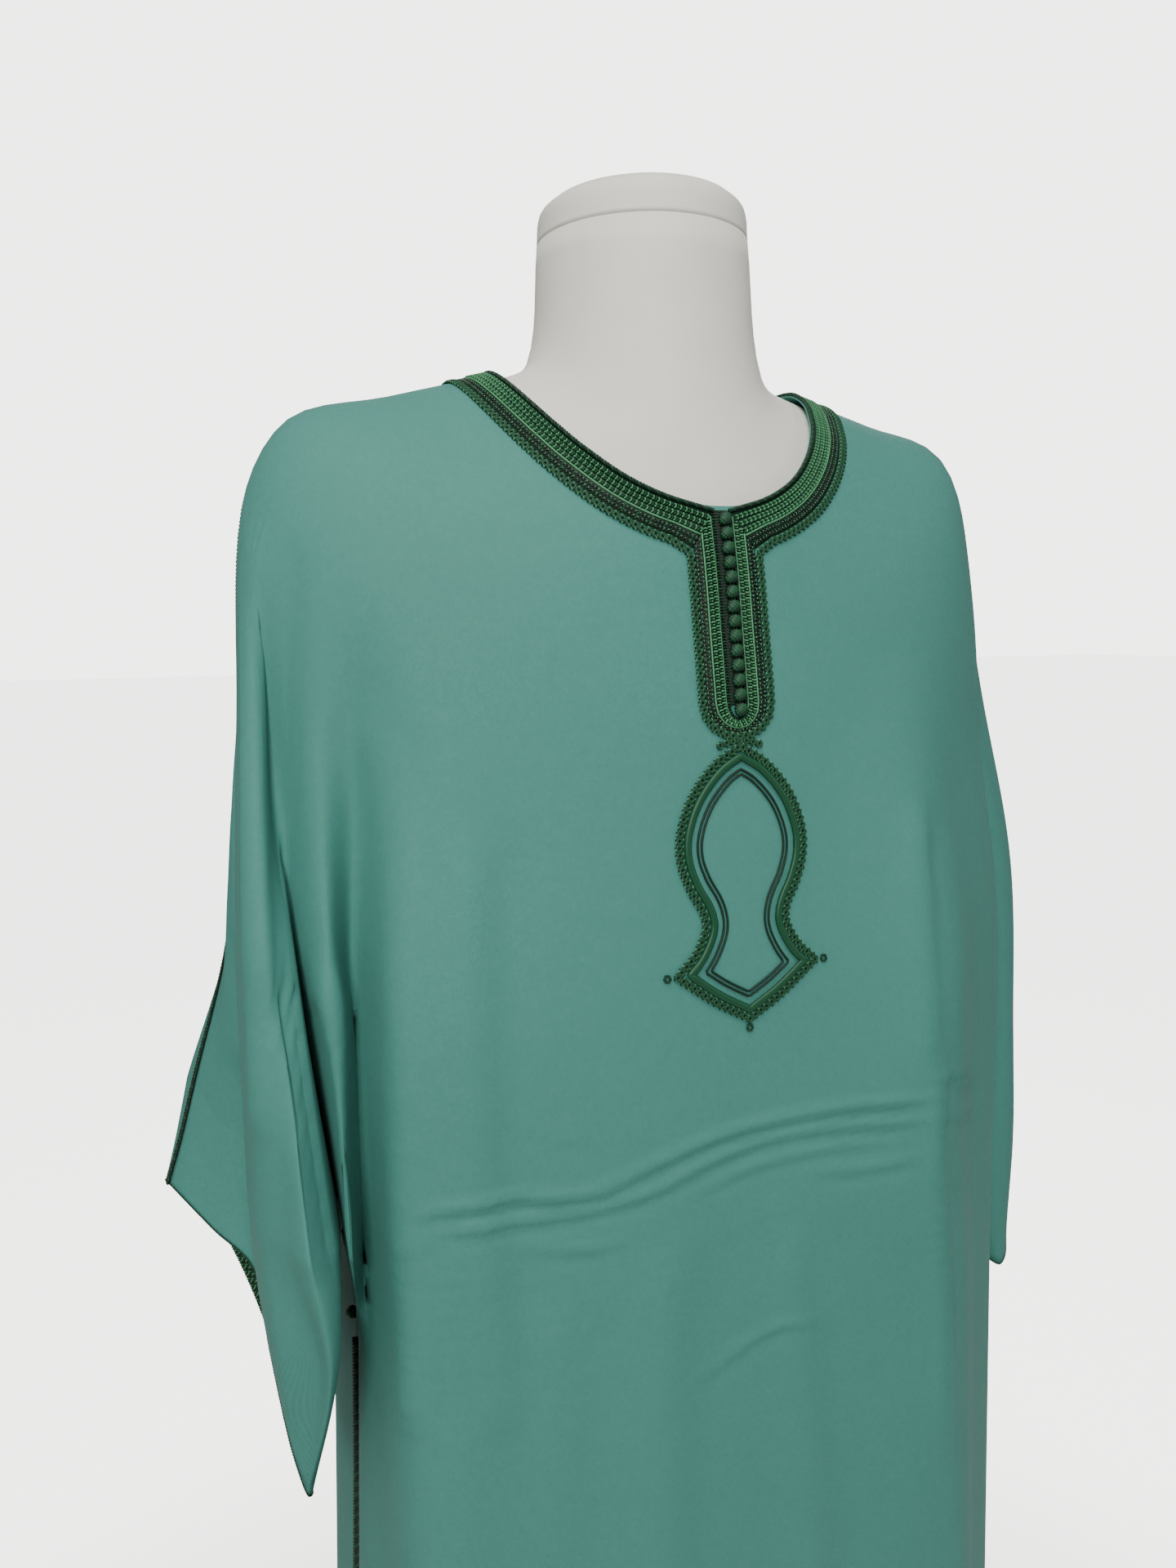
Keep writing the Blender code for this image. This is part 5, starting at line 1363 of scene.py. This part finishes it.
def side_trims(robe, word, panels, looks):
    head, foot = fine_row(SLIT_ROWS[0]), fine_row(SLIT_ROWS[1])
    trim = Trim(looks)
    upper = seam_path(robe, word, fine_row(1), head - ROWS_ABOVE_SLIT, SIDE_CORD_RADIUS)
    rope(trim, upper, **SEAM_ROPE)
    frames = upper.at(upper.spaced(SIDE_STITCH[0]))
    lean = np.resize(SIDE_LEANS, len(frames[0]))
    trim.grains(frames, SIDE_STITCH, PALE_THREAD, slant=lean, aside=-0.0032, lift=0.0003)
    trim.piece("seam_cord_" + word, "braid", "side_cord_" + word)
    trim = Trim(looks)
    lower = seam_path(robe, word, foot, sum(BODY_STEPS), SIDE_CORD_RADIUS)
    rope(trim, lower, **LOWER_SEAM_ROPE)
    trim.piece("lower_seam_cord_" + word, "braid", "lower_side_cord_" + word)
    middle, out = beside_seam(robe, word, head, SLIT_KNOT_RADIUS)
    trim = Trim(looks)
    knotted_ball(trim, middle, SLIT_KNOT_RADIUS, SLIT_KNOT_DEPTH,
                 (MID_THREAD, DARK_THREAD, LIGHT_THREAD), out)
    trim.piece("slit_head_knot_" + word, "braid", "slit_knot_" + word)
    numbers = [robe.index["body", row, word + "_g", 0] for row in range(head, foot + 1)]
    for name, (faces, outer) in panels.items():
        tree = BVHTree.FromPolygons([Vector(p) for p in outer], split_faces(faces))
        inner = set(numbers)
        beside = {}
        for face in faces.tolist():
            for a, b in zip(face, face[1:] + face[:1]):
                for here, there in ((a, b), (b, a)):
                    if here in inner and there not in inner:
                        beside.setdefault(here, []).append(there)
        points, normals = [], []
        for here in numbers[1:-1]:
            reach = unit(np.mean([unit(outer[there] - outer[here]) for there in beside[here]], axis=0))
            spot, normal, _, _ = tree.find_nearest(Vector(outer[here] + reach * SLIT_CORD_INSET))
            points.append(np.array(spot))
            normals.append(np.array(normal))
        trim = Trim(looks)
        rope(trim, Path(points, normals), **SLIT_ROPE)
        trim.piece(f"slit_plait_{word}_{name}", "braid", f"slit_cord_{word}_{name}")


def cuff_trims(robe, side, looks):
    word = side["word"]
    stage = word + "_sleeve"
    columns = [column(robe, place, step, [stage])[::-1]
               for place in robe.rings[stage] for step in range(FOLD_STEPS)]
    start = side["braid_from"] * FOLD_STEPS // 2
    chosen = columns[start:-FOLD_STEPS // 2] if word == "near" else columns[FOLD_STEPS // 2:-start]

    def inside(distance):
        rests = [at_distance(robe, numbers, distance) for numbers in chosen]
        depth = WALL + CUFF_BRAID_LIFT
        return Path([point - normal * depth for point, normal in rests],
                    [-normal for _, normal in rests])

    trim = Trim(looks)
    trim.band(inside(0.0006), inside(CUFF_BRAID_WIDTH - 0.0004), DARK_THREAD, 0.0, 0.0004)
    for distance in CUFF_ROWS:
        wheat(trim, inside(distance), **CUFF_ROW)
    trim.piece("cuff_braid_stitches_" + word, "braid", "cuff_braid_" + word)
    return columns


def cuff_edge(robe, word, columns, looks):
    rests = [at_distance(robe, numbers, CUFF_EDGE) for numbers in columns]
    path = Path([rest[0] for rest in rests], [rest[1] for rest in rests], closed=True)
    trim = Trim(looks)
    rope(trim, path, **CUFF_ROPE)
    trim.piece("cuff_edge_" + word, "braid")


def turned(name, profile, segments, look, slot_name, node):
    """Surface turned round the middle from (radius, height) pairs, closed at both ends."""
    turns = np.linspace(0, 2 * math.pi, segments, endpoint=False)
    rings = np.array([[(radius * math.cos(turn), radius * math.sin(turn), height) for turn in turns]
                      for radius, height in profile])
    return lofted(name, rings, look, slot_name, node)


def lofted(name, rings, look, slot_name, node):
    trim = Trim([look])
    trim.rings(rings[:, ::-1] if rings[0, 0, 2] > rings[-1, 0, 2] else rings, 0)
    return trim.piece(name, slot_name, node)


def rounded(radius, low, high, edge):
    """Profile of a disc with rounded edges."""
    turns = np.linspace(0, math.pi / 2, 7)
    flat = radius - edge
    lower = [(flat + edge * math.sin(turn), low + edge - edge * math.cos(turn)) for turn in turns]
    upper = [(flat + edge * math.cos(turn), high - edge + edge * math.sin(turn)) for turn in turns]
    return lower + upper


def dress_form(shell, metal):
    rings = form_surface()
    split = sum(FORM_STEPS[:CAP_RINGS])
    cap, torso = rings[:split + 1].copy(), rings[split:].copy()
    cap[-1, :, 2] += GAP
    lofted("form_cap_shell", cap, shell, "form", "form_cap")
    lofted("form_torso_shell", torso, shell, "form", "form_torso")
    foot = FORM_TOP - FORM_RINGS[-1][4]
    turned("form_pole_tube", rounded(POLE_RADIUS, BASE_HEIGHT + GAP, foot - GAP, POLE_ROUND),
           POLE_SIDES, metal, "metal", "form_pole")
    turned("form_base_plate", rounded(BASE_RADIUS, 0.0, BASE_HEIGHT, EDGE_ROUND), BASE_SIDES,
           metal, "metal", "form_base")


# Camera and lights, and how bright the surroundings are
CAMERA_PLACE = (-0.2816, -0.6325, 1.321)
CAMERA_TURN = (21.15, 7.6, -0.73)   # degrees to the right, down, and rolled
LENS = 26.25
SENSOR = 36
NEAR_CLIP = 0.01
LIGHTS = (
    # name       place                target             size watts colour
    ("overhead", (-0.5, -0.9, 2.9), (0, 0, 1.2), 1.6, 36, (1.0, 1.0, 0.96)),
    ("key", (-1.15, -1.95, 2.1), (0.02, -0.1, 1.1), 0.7, 37, (1.0, 1.0, 0.94)),
    ("fill", (2.2, -1.6, 1.7), (0, 0, 1.1), 1.4, 10, (0.95, 0.98, 1.0)),
    ("behind", (1.2, 2.3, 2.5), (0, 0, 1.0), 1.6, 40, (1.0, 1.0, 0.98)),
)
PALE_AIR = (1.0, 1.0, 0.975, 1)
AIR_LIGHT = 0.30           # strength of the backdrop as a light
AIR_SHOWN = 4.2            # its strength where the camera sees it
FLOOR_SHOWN = 3.4          # glow of the floor where the camera sees it
FLOOR_PAINTED_SHADE_FADE = (0.15, 1.3)   # distances from the pole between which the glow grows; nearer in, the floor is left darker as painted shade round the base
FLOOR_REACH = 40           # half of its width


def add_light(name, place, target, size, energy, colour):
    data = bpy.data.lights.new(name, "AREA")
    data.shape = "DISK"
    data.size = size
    data.energy = energy
    data.color = colour
    lamp = bpy.data.objects.new(name, data)
    lamp.location = place
    lamp.rotation_euler = (Vector(target) - Vector(place)).to_track_quat("-Z", "Y").to_euler()
    bpy.context.scene.collection.objects.link(lamp)


def add_camera():
    yaw, pitch, roll = map(math.radians, CAMERA_TURN)
    ahead = Vector((math.sin(yaw) * math.cos(pitch), math.cos(yaw) * math.cos(pitch),
                    -math.sin(pitch)))
    right = Vector((math.cos(yaw), -math.sin(yaw), 0))
    up = right.cross(ahead)
    tilted_right = math.cos(roll) * right + math.sin(roll) * up
    tilted_up = -math.sin(roll) * right + math.cos(roll) * up
    turn = Matrix((tilted_right, tilted_up, -ahead)).transposed().to_4x4()
    turn.translation = Vector(CAMERA_PLACE)
    data = bpy.data.cameras.new("camera")
    data.sensor_width = SENSOR
    data.lens = LENS
    data.clip_start = NEAR_CLIP
    camera = bpy.data.objects.new("camera", data)
    camera.matrix_world = turn
    bpy.context.scene.collection.objects.link(camera)
    bpy.context.scene.camera = camera


def add_surroundings():
    corners = [(x * FLOOR_REACH, y * FLOOR_REACH, 0) for x, y in ((-1, -1), (1, -1), (1, 1), (-1, 1))]
    floor = add_mesh("floor", corners, [(0, 1, 2, 3)], [floor_look()])
    world = bpy.data.worlds.new("pale")
    world.use_nodes = True
    tree = world.node_tree
    seen = tree.nodes.new("ShaderNodeLightPath").outputs["Is Camera Ray"]
    strength = tree.nodes.new("ShaderNodeMapRange")
    strength.inputs["To Min"].default_value = AIR_LIGHT
    strength.inputs["To Max"].default_value = AIR_SHOWN
    tree.links.new(seen, strength.inputs["Value"])
    back = tree.nodes["Background"]
    back.inputs["Color"].default_value = PALE_AIR
    tree.links.new(strength.outputs["Result"], back.inputs["Strength"])
    bpy.context.scene.world = world
    for light in LIGHTS:
        add_light(*light)


def dress():
    """Add every piece of the robe and its form, and the surroundings."""
    cloth = cloth_look()
    looks = [thread_look(*thread) for thread in THREADS]
    looks.insert(SATIN, satin_look())
    fine = Robe(FOLD_STEPS, UPPER_STEPS, BODY_STEPS, SLEEVE_STEPS)
    panels = {}
    for name in ("front", "back"):
        piece, faces, outer = add_panel(name, fine, cloth, name == "front")
        panels[name] = faces, outer
        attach(piece, "root")
        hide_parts(name)
    chest = Chest(*panels["front"])
    neck_trims(fine, chest, looks)
    placket_trims(chest, looks)
    add_knotted_buttons(chest, looks)
    motif_trims(chest, looks)
    for side in (NEAR, FAR):
        word = side["word"]
        overarm_cord(fine, word, word + side["overarm"][0], looks)
        side_trims(fine, word, panels, looks)
        columns = cuff_trims(fine, side, looks)
        cuff_edge(fine, word, columns, looks)
    dress_form(plaster_look(), metal_look())
    add_surroundings()
    add_camera()


dress()
